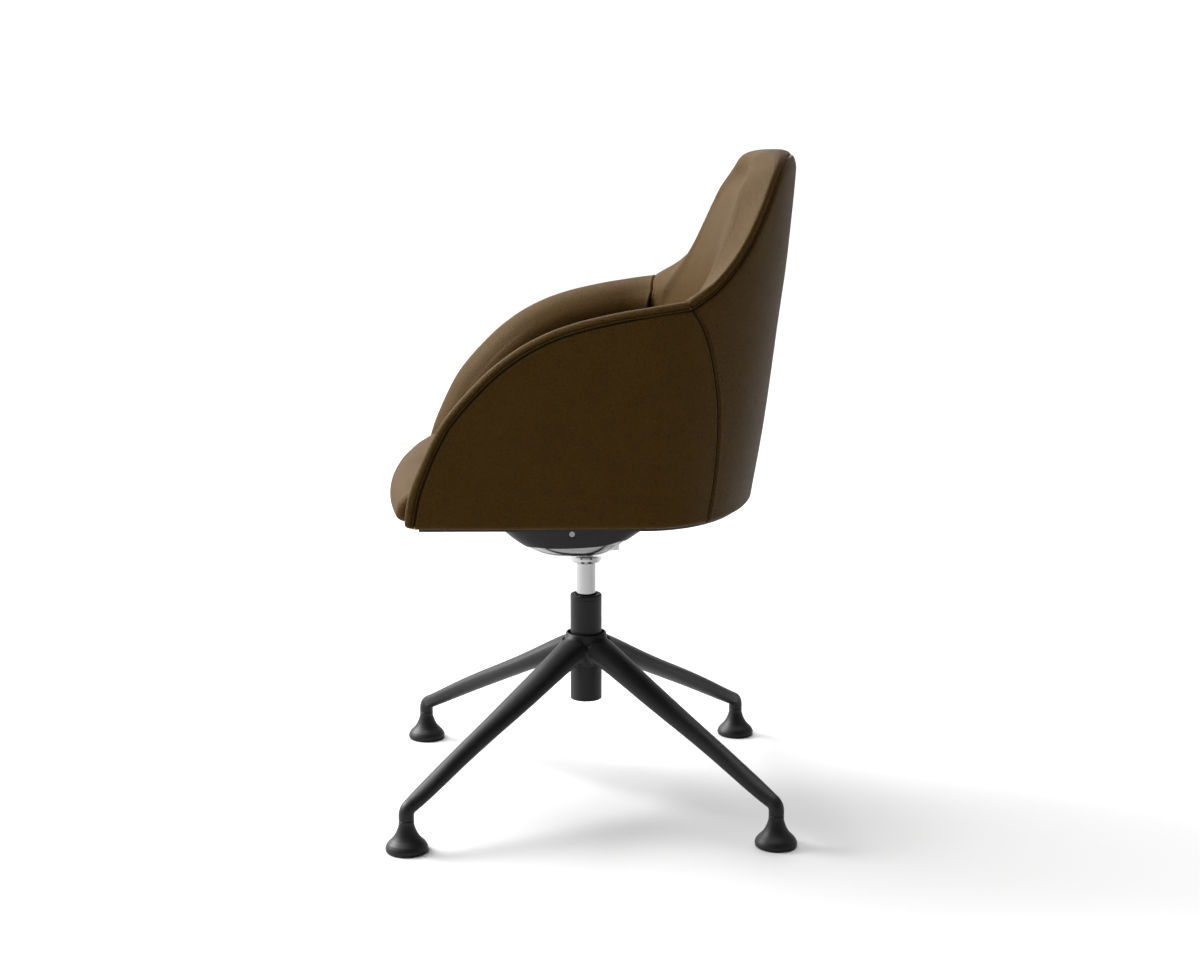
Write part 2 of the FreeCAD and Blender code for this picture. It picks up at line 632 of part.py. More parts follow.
def tub(side_inset, back_inset, front=YF):
    wires = []
    for z, depth in REAR:
        hw, hf = HALF - side_inset, FRONT_HALF - side_inset
        dp = depth - back_inset
        e = Part.Ellipse(Vector(0, YC, z), hw, dp)
        arc_ = Part.ArcOfEllipse(e, 0.0, math.pi).toShape()
        a, b = Vector(hw, YC, z), Vector(-hw, YC, z)
        fa, fb = Vector(hf, front, z), Vector(-hf, front, z)
        wires.append(Part.Wire([Part.makeLine(fa, a), arc_, Part.makeLine(b, fb), Part.makeLine(fb, fa)]))
    return Part.makeLoft(wires, True, False)


SK, CO, SW, BW = size("skin"), size("core"), size("side_wall"), size("back_wall")
t_out = tub(0, 0)
t_skin = tub(SK, SK, YF - 5)
t_core = tub(SK + CO, SK + CO, YF - 10)
t_in = tub(SW, BW, YF - 15)

CREST = [(-236.5, 440.0), (-238.5, 455.0), (-235.6, 472.3), (-228.9, 493.2), (-215.6, 525.6), (-202.5, 547.4), (-189.7, 566.0),
         (-172.0, 590.0), (-155.0, 610.0), (-137.0, 630.0), (-112.0, 650.0), (-72.0, 676.0), (-36.0, 692.0), (15.0, 706.5),
         (65.0, 716.5), (118.0, 724.0)]
SEAM = [(-226.0, 440.0), (-222.5, 462.0), (-215.0, 491.4), (-199.2, 535.0), (-180.9, 573.4), (-157.8, 603.9), (-122.1, 636.6),
        (-86.6, 660.0), (-48.8, 677.8), (-11.2, 690.0), (39.3, 701.0), (89.5, 708.5), (118.0, 712.0), (126.0, 713.0)]
JOIN = 118.0
arm_crest = yz_prism(CREST + [(JOIN, 425.0), (-236.5, 425.0)], -330.0, 330.0, curved=len(CREST))
arm_seam = yz_prism(SEAM[:-1] + [(JOIN, 425.0), (-226.0, 425.0)], -330.0, 330.0, curved=len(SEAM) - 1)
def rear_depth(z):
    for (z0, d0), (z1, d1) in zip(REAR[:-1], REAR[1:]):
        if z <= z1:
            return d0 + (d1 - d0) * (z - z0) / (z1 - z0)
    return REAR[-1][1]


def back_keep(table, top, join_z):
    """Space kept for the back: everything behind the arms up to join_z, then between
    two upright cuts that stand square to the outer wall and close in with height."""
    wires = []
    for z, w in table:
        d = rear_depth(z)
        y = YC + d * math.sqrt(max(0.0, 1 - (w / HALF) ** 2))
        nx, ny = w / HALF ** 2, (y - YC) / d ** 2
        n = math.hypot(nx, ny)
        nx, ny = nx / n, ny / n
        apex = y - ny / nx * w
        reach = 60.0
        pts = [Vector(0, apex, z), Vector(w + nx * reach, y + ny * reach, z), Vector(420, 420, z), Vector(-420, 420, z),
               Vector(-w - nx * reach, y + ny * reach, z)]
        wires.append(Part.makePolygon(pts + [pts[0]]))
    sides = Part.makeLoft(wires, True, True)
    low_part = Part.makeBox(900, 400, join_z - 420.0, Vector(-450, JOIN, 420.0))
    behind_arms = Part.makeBox(900, 400, 600.0, Vector(-450, JOIN, 420.0))
    return low_part.fuse(sides.common(behind_arms)).common(top)


EDGE = [(724.0, 291.5), (733.0, 282.0), (743.0, 271.5), (762.0, 255.5), (781.0, 241.0), (804.0, 225.0), (830.0, 208.0), (857.0, 191.0),
        (882.0, 176.0), (925.0, 150.0)]
TOP_EDGE = [(200.0, 860.0), (184.0, 876.0), (166.0, 889.0), (142.0, 900.5), (112.0, 908.0), (60.0, 911.6), (0.0, 912.0)]
top_pts = TOP_EDGE + [(-x, z) for x, z in reversed(TOP_EDGE[:-1])]
top_crest = xz_prism(top_pts + [(-330.0, 860.0), (-330.0, 425.0), (330.0, 425.0), (330.0, 860.0)], 50.0, 330.0, curved=len(top_pts))
back_crest = back_keep(EDGE, top_crest, 724.0)
SEAM_C = [(712.0, 291.5), (722.0, 280.0), (733.0, 268.0), (753.0, 252.0), (771.0, 237.5), (794.0, 221.0), (820.0, 204.0), (848.0, 185.5),
          (875.0, 168.0), (925.0, 137.0)]
SEAM_TOP = [(190.0, 855.0), (174.0, 870.0), (157.0, 882.0), (135.0, 893.0), (107.0, 900.5), (58.0, 904.1), (0.0, 904.5)]
top_pts = SEAM_TOP + [(-x, z) for x, z in reversed(SEAM_TOP[:-1])]
top_seam = xz_prism(top_pts + [(-330.0, 855.0), (-330.0, 425.0), (330.0, 425.0), (330.0, 855.0)], 50.0, 330.0, curved=len(top_pts))
back_seam = back_keep(SEAM_C, top_seam, 712.0)

above_bottom = Part.makeBox(900, 900, 700, Vector(-450, -450, BOTTOM))
wall = t_out.cut(t_in)
wall_outer = t_out.cut(t_core)


def side(shape, sign):
    return shape.common(Part.makeBox(400, 1200, 1000, Vector(0 if sign > 0 else -400, -600, 0)))


arm_full = wall.common(arm_crest).common(above_bottom)
arm_hard = wall_outer.common(arm_seam).common(above_bottom)
FRONT_EDGE = -226.0
board_space = t_core.common(Part.makeBox(900, 900, size("board_top") - BOTTOM, Vector(-450, FRONT_EDGE, BOTTOM)))
arm_pad = arm_full.cut(arm_hard).cut(board_space)
back_full = wall.common(back_crest).common(above_bottom)
back_hard = wall_outer.common(back_seam).common(above_bottom)
back_soft = back_full.cut(back_hard).cut(board_space)
for label, sign in (("arm_pad_left", 1), ("arm_pad_right", -1)):
    NODES.append(made(label, side(arm_pad, sign)))
NODES.append(made("back_pad", back_soft))

# leather-covered outer panels, parted by the stitched seam behind each arm
skin_wall = t_out.cut(t_skin)
SEAM_B = [(126.0, 730.0), (126.5, 713.7), (139.0, 690.5), (149.0, 659.4), (156.0, 621.5), (160.0, 588.0), (160.0, 545.0), (156.5, 500.0),
          (150.0, 458.0), (146.0, 440.0), (144.0, 425.0)]
behind = yz_prism(SEAM_B + [(330.0, 425.0), (330.0, 730.0)], -330.0, 330.0, curved=len(SEAM_B))
upper = Part.makeBox(800, 800, 300, Vector(-400, JOIN, 730.0))
panel_low = skin_wall.common(arm_seam).fuse(skin_wall.common(back_seam)).common(above_bottom)
back_panel = panel_low.common(behind).fuse(panel_low.common(upper)).removeSplitter()
side_panels = panel_low.cut(behind).cut(upper).removeSplitter()
for label, sign in (("side_panel_left", 1), ("side_panel_right", -1)):
    NODES.append(made(label, side(side_panels, sign)))
NODES.append(made("back_panel", back_panel))

core_wall = t_skin.cut(t_core)
core = core_wall.common(arm_seam).fuse(core_wall.common(back_seam)).common(above_bottom).removeSplitter()
NODES.append(made("tub_core", core))

# ---------------------------------------------------------------- seat: pan, board, cushion, fixings
board = t_core.common(Part.makeBox(900, 900, size("board_top") - BOTTOM, Vector(-450, FRONT_EDGE, BOTTOM)))
pan_body = tub(20.0, 9.0, YF - 5).common(Part.makeBox(900, 900, BOTTOM - size("pan_low"), Vector(-450, FRONT_EDGE + 6.0, size("pan_low"))))
for x, y in BOLTS:
    pan_body = pan_body.cut(Part.makeCylinder(size("bolt_dia") / 2 + 0.3, 40.0, Vector(x, y, 420.0)))
    board = board.cut(Part.makeCylinder(5.5, 40.0, Vector(x, y, 430.0)))
    board = board.cut(Part.makeCylinder(10.0, 10.0, Vector(x, y, size("board_top") - 2.0)))
NODES.append(made("bottom_pan", pan_body))
NODES.append(made("seat_board", board))

# cushion outline from above: oval behind, bowed nose in front
nose = -size("seat_nose")
inner = tub(SW + 0.6, BW + 0.6, YF - 15)
front_arc = Part.Arc(Vector(250.0, -241.0, 441.0), Vector(0, nose, 441.0), Vector(-250.0, -241.0, 441.0)).toShape()
blank = Part.Face(Part.Wire([front_arc, Part.makeLine(Vector(-250.0, -241.0, 441.0), Vector(-250.0, 220.0, 441.0)),
                             Part.makeLine(Vector(-250.0, 220.0, 441.0), Vector(250.0, 220.0, 441.0)),
                             Part.makeLine(Vector(250.0, 220.0, 441.0), Vector(250.0, -241.0, 441.0))])).extrude(Vector(0, 0, 60.0))
outline = blank.common(inner).fuse(blank.common(Part.makeBox(900, 360.4, 300, Vector(-450, -600.0, 400)))).removeSplitter()
TOP = [(-300.0, 463.0), (-280.0, 474.0), (-262.0, 481.5), (-227.0, size("seat_crest")), (-160.0, size("seat_crest") - 2.0),
       (0.0, size("seat_rear") + 8.0), (120.0, size("seat_rear")), (260.0, size("seat_rear") - 6.0)]
under_top = yz_prism(TOP + [(260.0, 430.0), (-300.0, 430.0)], -400.0, 400.0, curved=len(TOP))
cushion = outline.common(under_top).cut(Part.makeBox(900, 900, size("board_top") - 400.0, Vector(-450, FRONT_EDGE, 400.0)))
NODES.append(made("seat_cushion", cushion.removeSplitter()))

bolts, nuts = [], []
for x, y in BOLTS:
    shank = Part.makeCylinder(size("bolt_dia") / 2, 452.0 - flow, Vector(x, y, flow))
    head = Part.makeCylinder(6.5, 5.0, Vector(x, y, flow - 5.0)).cut(Part.makeCylinder(2.9, 3.0, Vector(x, y, flow - 5.0)))
    bolts.append(shank.fuse(head).removeSplitter())
    nut = Part.makeCylinder(5.5, 10.0, Vector(x, y, 442.0)).fuse(Part.makeCylinder(10.0, 2.0, Vector(x, y, 452.0)))
    nut = nut.cut(Part.makeCylinder(size("bolt_dia") / 2, 14.0, Vector(x, y, 441.0)))
    nuts.append(nut.removeSplitter())
NODES.append(made("seat_bolts", Part.makeCompound(bolts)))
NODES.append(made("tee_nuts", Part.makeCompound(nuts)))
doc.recompute()

# ---------------------------------------------------------------- checks and files
bad = []
for o in doc.Objects:
    if "Invalid" in o.State or "Error" in o.State:
        bad.append("%s: %s" % (o.Label, o.State))
for o in NODES:
    if o.Shape.isNull() or not o.Shape.isValid() or not o.Shape.Solids:
        bad.append("%s: no valid solid" % o.Label)
if bad:
    raise RuntimeError("; ".join(bad))
os.makedirs("parts", exist_ok=True)
for o in NODES:
    o.Shape.exportStep("parts/%s.step" % o.Label)
    b = o.Shape.BoundBox
    print("%-22s solids %d  volume %9.0f  X %7.1f %7.1f  Y %7.1f %7.1f  Z %6.1f %6.1f" % (
        o.Label, len(o.Shape.Solids), o.Shape.Volume, b.XMin, b.XMax, b.YMin, b.YMax, b.ZMin, b.ZMax))
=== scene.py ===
import json
import math

import bpy
import numpy as np
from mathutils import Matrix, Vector


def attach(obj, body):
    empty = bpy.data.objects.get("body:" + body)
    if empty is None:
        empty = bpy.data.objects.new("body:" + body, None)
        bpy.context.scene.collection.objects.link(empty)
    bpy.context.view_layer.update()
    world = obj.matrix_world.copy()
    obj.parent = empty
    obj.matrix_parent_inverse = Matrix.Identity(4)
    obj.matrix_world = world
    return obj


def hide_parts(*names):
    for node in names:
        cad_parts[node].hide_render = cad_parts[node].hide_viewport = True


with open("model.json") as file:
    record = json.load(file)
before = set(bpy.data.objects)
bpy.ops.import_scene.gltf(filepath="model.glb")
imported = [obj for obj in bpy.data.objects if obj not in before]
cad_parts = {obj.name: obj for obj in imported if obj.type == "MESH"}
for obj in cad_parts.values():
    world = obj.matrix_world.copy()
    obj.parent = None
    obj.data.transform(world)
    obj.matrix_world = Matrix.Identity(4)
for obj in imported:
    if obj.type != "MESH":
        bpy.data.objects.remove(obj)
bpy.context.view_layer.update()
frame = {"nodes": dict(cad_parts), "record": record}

scene = bpy.context.scene
scene.view_settings.view_transform = "Standard"
scene.view_settings.look = "None"
PI = math.pi

# ------------------------------------------------------------------ camera
PAN, PITCH = -0.0386, 0.17
cam = bpy.data.objects.new("camera", bpy.data.cameras.new("camera"))
scene.collection.objects.link(cam)
cam.location = (2.56213, -0.07898, 0.89246)
ahead = Vector((-math.cos(PAN) * math.cos(PITCH), -math.sin(PAN) * math.cos(PITCH), -math.sin(PITCH)))
cam.rotation_mode = "QUATERNION"
cam.rotation_quaternion = ahead.to_track_quat("-Z", "Y")
cam.data.sensor_width = 36.0
cam.data.lens = 1840.39 / 1200 * 36.0
cam.data.clip_end = 200.0
scene.camera = cam


# ------------------------------------------------------------------ curves, in millimetres
class Cubic:
    """Natural cubic through points."""

    def __init__(self, pts):
        x, y = np.array(pts, float).T
        n, h = len(x), np.diff(x)
        a, r = np.eye(n), np.zeros(n)
        for i in range(1, n - 1):
            a[i, i - 1 : i + 2] = h[i - 1], 2 * (h[i - 1] + h[i]), h[i]
            r[i] = 6 * ((y[i + 1] - y[i]) / h[i] - (y[i] - y[i - 1]) / h[i - 1])
        self.x, self.y, self.m, self.h = x, y, np.linalg.solve(a, r), h

    def __call__(self, t, slope=False):
        t = np.asarray(t, float)
        i = np.clip(np.searchsorted(self.x, t) - 1, 0, len(self.h) - 1)
        h = self.h[i]
        a, b = (self.x[i + 1] - t) / h, (t - self.x[i]) / h
        if slope:
            return (self.y[i + 1] - self.y[i]) / h + ((3 * b * b - 1) * self.m[i + 1] - (3 * a * a - 1) * self.m[i]) * h / 6
        return a * self.y[i] + b * self.y[i + 1] + ((a**3 - a) * self.m[i] + (b**3 - b) * self.m[i + 1]) * h * h / 6


def lengths(p):
    return np.concatenate([[0.0], np.cumsum(np.linalg.norm(np.diff(p, axis=0), axis=1))])


def at(p, s):
    """Points of a polyline at arc lengths s."""
    c = lengths(p)
    return np.stack([np.interp(s, c, p[:, k]) for k in range(p.shape[1])], 1)


def dense(p, step=1.0):
    total = lengths(p)[-1]
    return at(p, np.linspace(0, total, max(2, int(round(total / step)) + 1)))


def fair(p, sigma, step=1.0):
    """The polyline smoothed along its length, with its ends kept."""
    p = dense(np.asarray(p, float), step)
    n = min(int(3 * sigma / step), len(p) - 2)
    k = np.exp(-0.5 * (np.arange(-n, n + 1) * step / sigma) ** 2)
    k /= k.sum()
    ext = np.concatenate([2 * p[0] - p[n:0:-1], p, 2 * p[-1] - p[-2 : -n - 2 : -1]])
    return dense(np.stack([np.convolve(ext[:, c], k, "valid") for c in range(p.shape[1])], 1), step)


def smooth1(y, sigma):
    n = int(3 * sigma)
    k = np.exp(-0.5 * (np.arange(-n, n + 1) / sigma) ** 2)
    ext = np.concatenate([np.full(n, y[0]), y, np.full(n, y[-1])])
    return np.convolve(ext, k / k.sum(), "valid")


def step01(x):
    x = np.clip(x, 0, 1)
    return x * x * (3 - 2 * x)


def unit(v):
    return v / np.maximum(np.linalg.norm(v, axis=-1, keepdims=True), 1e-9)


def bell(x, w):
    return np.exp(-((x / w) ** 2))


def waves(p, scale, seed, n=7):
    """A soft deterministic unevenness, about -1 to 1, over points p."""
    r = np.random.default_rng(seed)
    out = np.zeros(p.shape[:-1])
    for _ in range(n):
        d = r.normal(size=3)
        d = d / np.linalg.norm(d) * 2 * PI / (scale * r.uniform(0.7, 1.6))
        out += np.sin(p @ d + r.uniform(0, 2 * PI))
    return out / math.sqrt(n)


# ------------------------------------------------------------------ the tub's outer form
HALF, YC, RUN = 300.0, 66.0, 328.0
RD = Cubic([
    (425, 158.5), (470, 166.5), (510, 173.6), (550, 179.6), (595, 185.6), (640, 191.6),
    (685, 197.2), (720, 201.8), (775, 208.6), (820, 213.2), (860, 216.6), (925, 219.6),
])
BOTTOM, ROUND = 440.0, 6.0
LOW = BOTTOM + ROUND


def outer(q, z):
    """Point and outward normal on the outer form: |q| 0 to 1 goes round the back, 1 to 2 along a side."""
    q, z = np.broadcast_arrays(np.asarray(q, float), np.asarray(z, float))
    sign = np.where(q < 0, -1.0, 1.0)
    a = np.abs(q)
    th = np.minimum(a, 1) * PI / 2
    e = np.maximum(a - 1, 0)
    rd, slope = RD(z), RD(z, True)
    p = np.stack([sign * (HALF * np.sin(th) - 7 * e * e), YC + rd * np.cos(th) - RUN * e, z], -1)
    nx = np.where(a < 1, np.sin(th) / HALF, 1.0)
    ny = np.where(a < 1, np.cos(th) / rd, -14 * e / RUN)
    k = np.hypot(nx, ny)
    nx, ny = nx / k, ny / k
    n = unit(np.stack([sign * nx, ny, -ny * slope * np.cos(th)], -1))
    return p, n


def place(p):
    """(q, z) of points on or near the outer form."""
    x, y, z = p[..., 0], p[..., 1], p[..., 2]
    th = np.arctan2(np.abs(x) / HALF, (y - YC) / RD(z))
    q = np.where(y > YC, th / (PI / 2), 1 + (YC - y) / RUN)
    return np.where(x < 0, -q, q), z


def on_side(pts):
    y, z = np.array(pts, float).T
    q = np.where(y <= YC, 1 + (YC - y) / RUN, np.arccos(np.clip((y - YC) / RD(z), -1, 1)) / (PI / 2))
    return outer(q, z)[0]


def on_back(pts):
    x, z = np.array(pts, float).T
    return outer(np.arcsin(np.clip(x / HALF, -1, 1)) / (PI / 2), z)[0]


# seams, on the sitter's left
MEET = (125.0, 713.0)
ARM_SEAM = fair(on_side([
    (-224.5, 446), (-222.5, 462), (-215, 491.4), (-199.2, 531), (-180.9, 567), (-157.8, 595.5), (-122.1, 632),
    (-86.6, 658.6), (-48.8, 677.8), (-11.2, 690), (39.3, 701), (89.5, 708.5), MEET,
]), 12)
SIDE_SEAM = fair(on_side([
    MEET, (139, 690.5), (149, 659.4), (156, 621.5), (160, 588), (160, 545), (156.5, 500), (151, 462), (147.5, 446),
]), 12)
half = np.concatenate([
    on_side([MEET]),
    on_back([
        (280, 722), (268, 733), (252, 753), (237.5, 771), (221, 794), (204, 820), (185.5, 848), (168, 875), (155, 884),
        (135, 893), (107, 900.5), (58, 904.1), (0, 904.5),
    ]),
])
BACK_SEAM = fair(np.concatenate([half, (half * [-1, 1, 1])[-2::-1]]), 12)
CREST = dense(np.array([
    (-236.5, 440), (-238.5, 455), (-235.6, 472.3), (-228.9, 493.2), (-215.6, 525.6), (-202.5, 547.4), (-189.7, 566),
    (-172, 590), (-155, 610), (-137, 630), (-112, 650), (-72, 676), (-36, 692), (15, 706.5), (65, 716.5), (118, 724), (150, 727),
], float))

def spline_weights(n, m):
    """Weights of n control points of a clamped cubic spline at m places along it."""
    k = np.concatenate([np.zeros(3), np.linspace(0, 1, n - 2), np.ones(3)])
    t = np.linspace(0, 1 - 1e-9, m)
    b = ((t[:, None] >= k[None, :-1]) & (t[:, None] < k[None, 1:])).astype(float)
    for d in (1, 2, 3):
        nb = np.zeros((m, b.shape[1] - 1))
        for i in range(nb.shape[1]):
            l, r = k[i + d] - k[i], k[i + d + 1] - k[i + 1]
            if l > 0:
                nb[:, i] += (t - k[i]) / l * b[:, i]
            if r > 0:
                nb[:, i] += (k[i + d + 1] - t) / r * b[:, i + 1]
        b = nb
    return b


# sections of the rolled edge from the seam, (across, along): over an arm, up a side of the back, over its top, down an arm's front
FORMS = np.array([
    [(-1.8, 0), (-2.4, 3.6), (-3.2, 7.4), (-4.4, 11.0), (-6.4, 13.6), (-10.0, 14.5), (-15.5, 13.6), (-23.0, 10.8), (-32.0, 6.0), (-41.0, -1.0), (-48.0, -10.0)],
    [(-2.0, 0), (-2.5, 3.6), (-2.9, 7.0), (-3.5, 9.8), (-4.9, 11.5), (-7.4, 11.7), (-11.0, 10.0), (-17.0, 6.4), (-25.0, 1.6), (-35.0, -4.4), (-48.0, -12.0)],
    [(-5.0, 0), (-6.6, 2.8), (-10.0, 5.4), (-15.0, 7.2), (-22.0, 8.0), (-31.0, 8.0), (-40.0, 6.9), (-48.4, 4.0), (-54.8, -0.8), (-58.7, -7.4), (-60.8, -15.0)],
    [(-1.8, 0), (-1.8, 3.6), (-2.0, 7.4), (-2.9, 11.0), (-5.2, 13.8), (-9.2, 14.8), (-15.2, 13.9), (-23.0, 11.0), (-32.0, 6.0), (-41.0, -1.0), (-48.0, -10.0)],
])
WEIGHTS = spline_weights(FORMS.shape[1], 200)


class Roll:
    """The rolled edge along a seam: frames, its section at each place and how far it stands over the seam."""

    def __init__(self, seam, step):
        self.seam = seam
        total = lengths(seam)[-1]
        self.n = int(round(total / step)) + 1
        self.s = np.linspace(0, total, self.n)
        self.p = at(seam, self.s)
        self.p = outer(*place(self.p))[0]
        self.N = outer(*place(self.p))[1]
        t = unit(np.gradient(self.p, axis=0))
        self.B = unit(np.cross(self.N, t))
        self.B = unit(np.stack([smooth1(self.B[:, k], 6) for k in range(3)], 1))
        self.T = t
        self.total = total

    def form(self, over, mix):
        """Set the height over the seam and the section, a mix of FORMS at each place."""
        self.over = over
        ctl = np.einsum("nk,kij->nij", mix, FORMS)
        p = np.einsum("mi,nij->nmj", WEIGHTS, ctl)
        a, b = p[..., 0], p[..., 1].copy()
        top = b.argmax(1)
        high = b.max(1)
        k = np.arange(b.shape[1])[None, :]
        b = np.where(k <= top[:, None], b * (over / high)[:, None], b + (over - high)[:, None])
        self.a, self.b = a, b
        self.lean = -a[:, 0]
        self.groove = 1 - 0.6 * mix[:, 2]
        self.crest = np.hypot(np.diff(a, axis=1), np.diff(b, axis=1)).cumsum(1)[np.arange(self.n), np.maximum(top - 1, 0)]


arm = Roll(ARM_SEAM, 1.0)
back = Roll(BACK_SEAM, 1.0)
high = np.array([np.min(np.linalg.norm(CREST - p, axis=1)) for p in arm.p[:, 1:]])
front = 1 - step01((arm.p[:, 2] - 600.0) / 80.0)
arm.form(smooth1(np.clip(high - 0.6, 12.0, 15.0), 14), np.stack([1 - front, 0 * front, 0 * front, front], 1))
# the two rolls mitre where they meet
mitre = unit(arm.B[-1] + back.B[0])
for r, ends in ((arm, (arm.s[-1] - arm.s,)), (back, (back.s, back.s[-1] - back.s))):
    for e, m in zip(ends, (mitre, mitre * [-1, 1, 1])):
        k = step01(1 - e / 26.0)[:, None]
        r.B = unit(r.B * (1 - k) + m * k)
f = np.abs(back.s / back.total * 2 - 1)
up = 1 - step01((f - 0.18) / 0.28)
near = step01(1 - np.minimum(back.s, back.s[-1] - back.s) / 60.0)
back.form((11.6 - 3.8 * up) * (1 - near) + arm.over[-1] * near,
          np.stack([near, (1 - near) * (1 - up), up, 0 * up], 1))
# how far a pad's thickness takes to settle below its roll, and how much of the roll's slope it keeps
arm.reach, arm.steep = np.full(arm.n, 62.0), np.ones(arm.n)
back.reach, back.steep = 62.0 + 8.0 * (1 - up), 0.7 - 0.35 * up


# ------------------------------------------------------------------ mesh building
def new_object(name, verts, faces, body="seat", smooth=50):
    me = bpy.data.meshes.new(name)
    me.from_pydata((np.asarray(verts) * 0.001).tolist(), [], faces)
    me.polygons.foreach_set("use_smooth", [True] * len(me.polygons))
    me.update()
    if smooth:
        me.set_sharp_from_angle(angle=math.radians(smooth))
    o = bpy.data.objects.new(name, me)
    scene.collection.objects.link(o)
    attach(o, body)
    return o


def grid_normals(p):
    n = np.cross(np.gradient(p, axis=1), np.gradient(p, axis=0))
    return unit(n)


def shell(name, p, rear, flip):
    """Closed piece from a fine seen grid and the same grid set back, which is kept coarse."""
    m, n = p.shape[:2]
    rows = sorted(set(list(range(0, m, 4)) + [m - 1]))
    cols = sorted(set(list(range(0, n, 4)) + [n - 1]))
    verts = p.reshape(-1, 3)
    off = len(verts)
    hid = rear[np.ix_(rows, cols)].reshape(-1, 3)
    nc = len(cols)
    f = lambda i, j: i * n + j
    h = lambda a, b: off + a * nc + b
    faces = []
    i, j = np.meshgrid(np.arange(m - 1), np.arange(n - 1), indexing="ij")
    quad = np.stack([f(i, j), f(i, j + 1), f(i + 1, j + 1), f(i + 1, j)], -1).reshape(-1, 4)
    faces += (quad[:, ::-1] if flip else quad).tolist()
    a, b = np.meshgrid(np.arange(len(rows) - 1), np.arange(nc - 1), indexing="ij")
    quad = np.stack([h(a, b), h(a + 1, b), h(a + 1, b + 1), h(a, b + 1)], -1).reshape(-1, 4)
    faces += (quad[:, ::-1] if flip else quad).tolist()
    edge = []
    for b in range(nc - 1):
        c0, c1 = cols[b], cols[b + 1]
        edge.append([f(0, c) for c in range(c1, c0 - 1, -1)] + [h(0, b), h(0, b + 1)])
        edge.append([f(m - 1, c) for c in range(c0, c1 + 1)] + [h(len(rows) - 1, b + 1), h(len(rows) - 1, b)])
    for a in range(len(rows) - 1):
        r0, r1 = rows[a], rows[a + 1]
        edge.append([f(r, 0) for r in range(r0, r1 + 1)] + [h(a + 1, 0), h(a, 0)])
        edge.append([f(r, n - 1) for r in range(r1, r0 - 1, -1)] + [h(a, nc - 1), h(a + 1, nc - 1)])
    faces += [e[::-1] for e in edge] if flip else edge
    return new_object(name, np.concatenate([verts, hid]), faces)


def nearest(p, line):
    """Distance to a polyline and the index of the nearest point on it."""
    flat = p.reshape(-1, 3)
    d, at_ = np.empty(len(flat)), np.empty(len(flat), int)
    for k in range(0, len(flat), 3000):
        c = flat[k : k + 3000]
        g = ((c[:, None] - line[None]) ** 2).sum(-1)
        i = g.argmin(1)
        best = np.sqrt(g[np.arange(len(c)), i])
        for da, db in ((-1, 0), (0, 1)):
            a, b = line[np.clip(i + da, 0, len(line) - 1)], line[np.clip(i + db, 0, len(line) - 1)]
            ab = b - a
            t = np.clip(((c - a) * ab).sum(1) / np.maximum((ab * ab).sum(1), 1e-9), 0, 1)
            best = np.minimum(best, np.linalg.norm(c - a - ab * t[:, None], axis=1))
        d[k : k + 3000], at_[k : k + 3000] = best, i
    return d.reshape(p.shape[:-1]), at_.reshape(p.shape[:-1])


def plain_edge(d):
    return -3.2 * bell(d, 1.15) + 0.4 * bell(d - 3.8, 2.2)


STITCH_AT = 3.8


def sewn_edge(d):
    return -3.2 * bell(d, 1.0) + 0.6 * bell(d - 2.1, 0.8) - 1.4 * bell(d - STITCH_AT, 0.75) + 0.45 * bell(d - 6.4, 2.0)


def spread(total, mid):
    """Positions from 0 to total, fine near both ends."""
    end = [0, 0.6, 1.2, 1.8, 2.4, 3.0, 3.7, 4.4, 5.1, 5.9, 7.0, 8.5, 10.5, 13.0, 16.0, 19.5]
    k = max(2, int(round((total - 2 * end[-1]) / mid)))
    return np.array(end[:-1] + list(np.linspace(end[-1], total - end[-1], k)) + [total - e for e in end[-2::-1]])


def roll_inset(d, r, i):
    """How far a cover leans in just under a roll's seam."""
    x = np.clip(1 - d / (11.0 + 2.5 * (r.lean[i] - 2.2)), 0, 1)
    return -r.lean[i] * x * x


def cover(q, z, edges, seed, full=0.0):
    """Points of an outer cover: edges are (line, kind, roll)."""
    p, n = outer(q, z)
    move = 0.55 * waves(p, 130.0, seed) + full * step01(1 - np.abs(q) / 0.75)
    quiet = np.ones(p.shape[:-1])
    for line, kind, r in edges:
        d, i = nearest(p, line)
        move = move + kind(d) * (1 if r is None else r.groove[np.clip(np.round(i * (r.n - 1) / (len(line) - 1)).astype(int), 0, r.n - 1)])
        quiet = np.minimum(quiet, step01(d / 30.0))
        if r is not None:
            idx = np.clip(np.round(i * (r.n - 1) / (len(line) - 1)).astype(int), 0, r.n - 1)
            move = move + roll_inset(d, r, idx)
    move = move - 0.55 * waves(p, 130.0, seed) * (1 - quiet)
    return p + n * move[..., None], p, n


def under(p, n):
    """Rows that turn a cover round the bottom edge; p and n are its lowest row."""
    flat = unit(n * [1, 1, 0])
    rows = []
    for inset in (19.0, 14.0, 10.0):
        rows.append(p - flat * inset - [0, 0, ROUND])
    for a in (90, 72, 54, 36, 18):
        a = math.radians(a)
        rows.append(p - flat * ROUND * (1 - math.cos(a)) - np.array([0, 0, ROUND * math.sin(a)]))
    return np.stack(rows)


def coons(low, high, left, right, u, v):
    """Grid between four (q, z) edges; low and high at u, left and right at v."""
    u, v = u[None, :, None], v[:, None, None]
    g = (1 - v) * low[None] + v * high[None] + (1 - u) * left[:, None] + u * right[:, None]
    g -= (1 - u) * (1 - v) * low[0] + u * (1 - v) * low[-1] + (1 - u) * v * high[0] + u * v * high[-1]
    return g[..., 0], g[..., 1]


def qz(p):
    return np.stack(place(p), -1)


mirror = np.array([-1.0, 1.0, 1.0])
# the second list holds the stitches and the near-black seam strips, which are painted shade in the seam gaps
LEATHER, THREADS_AND_GAP_SHADE = [], []

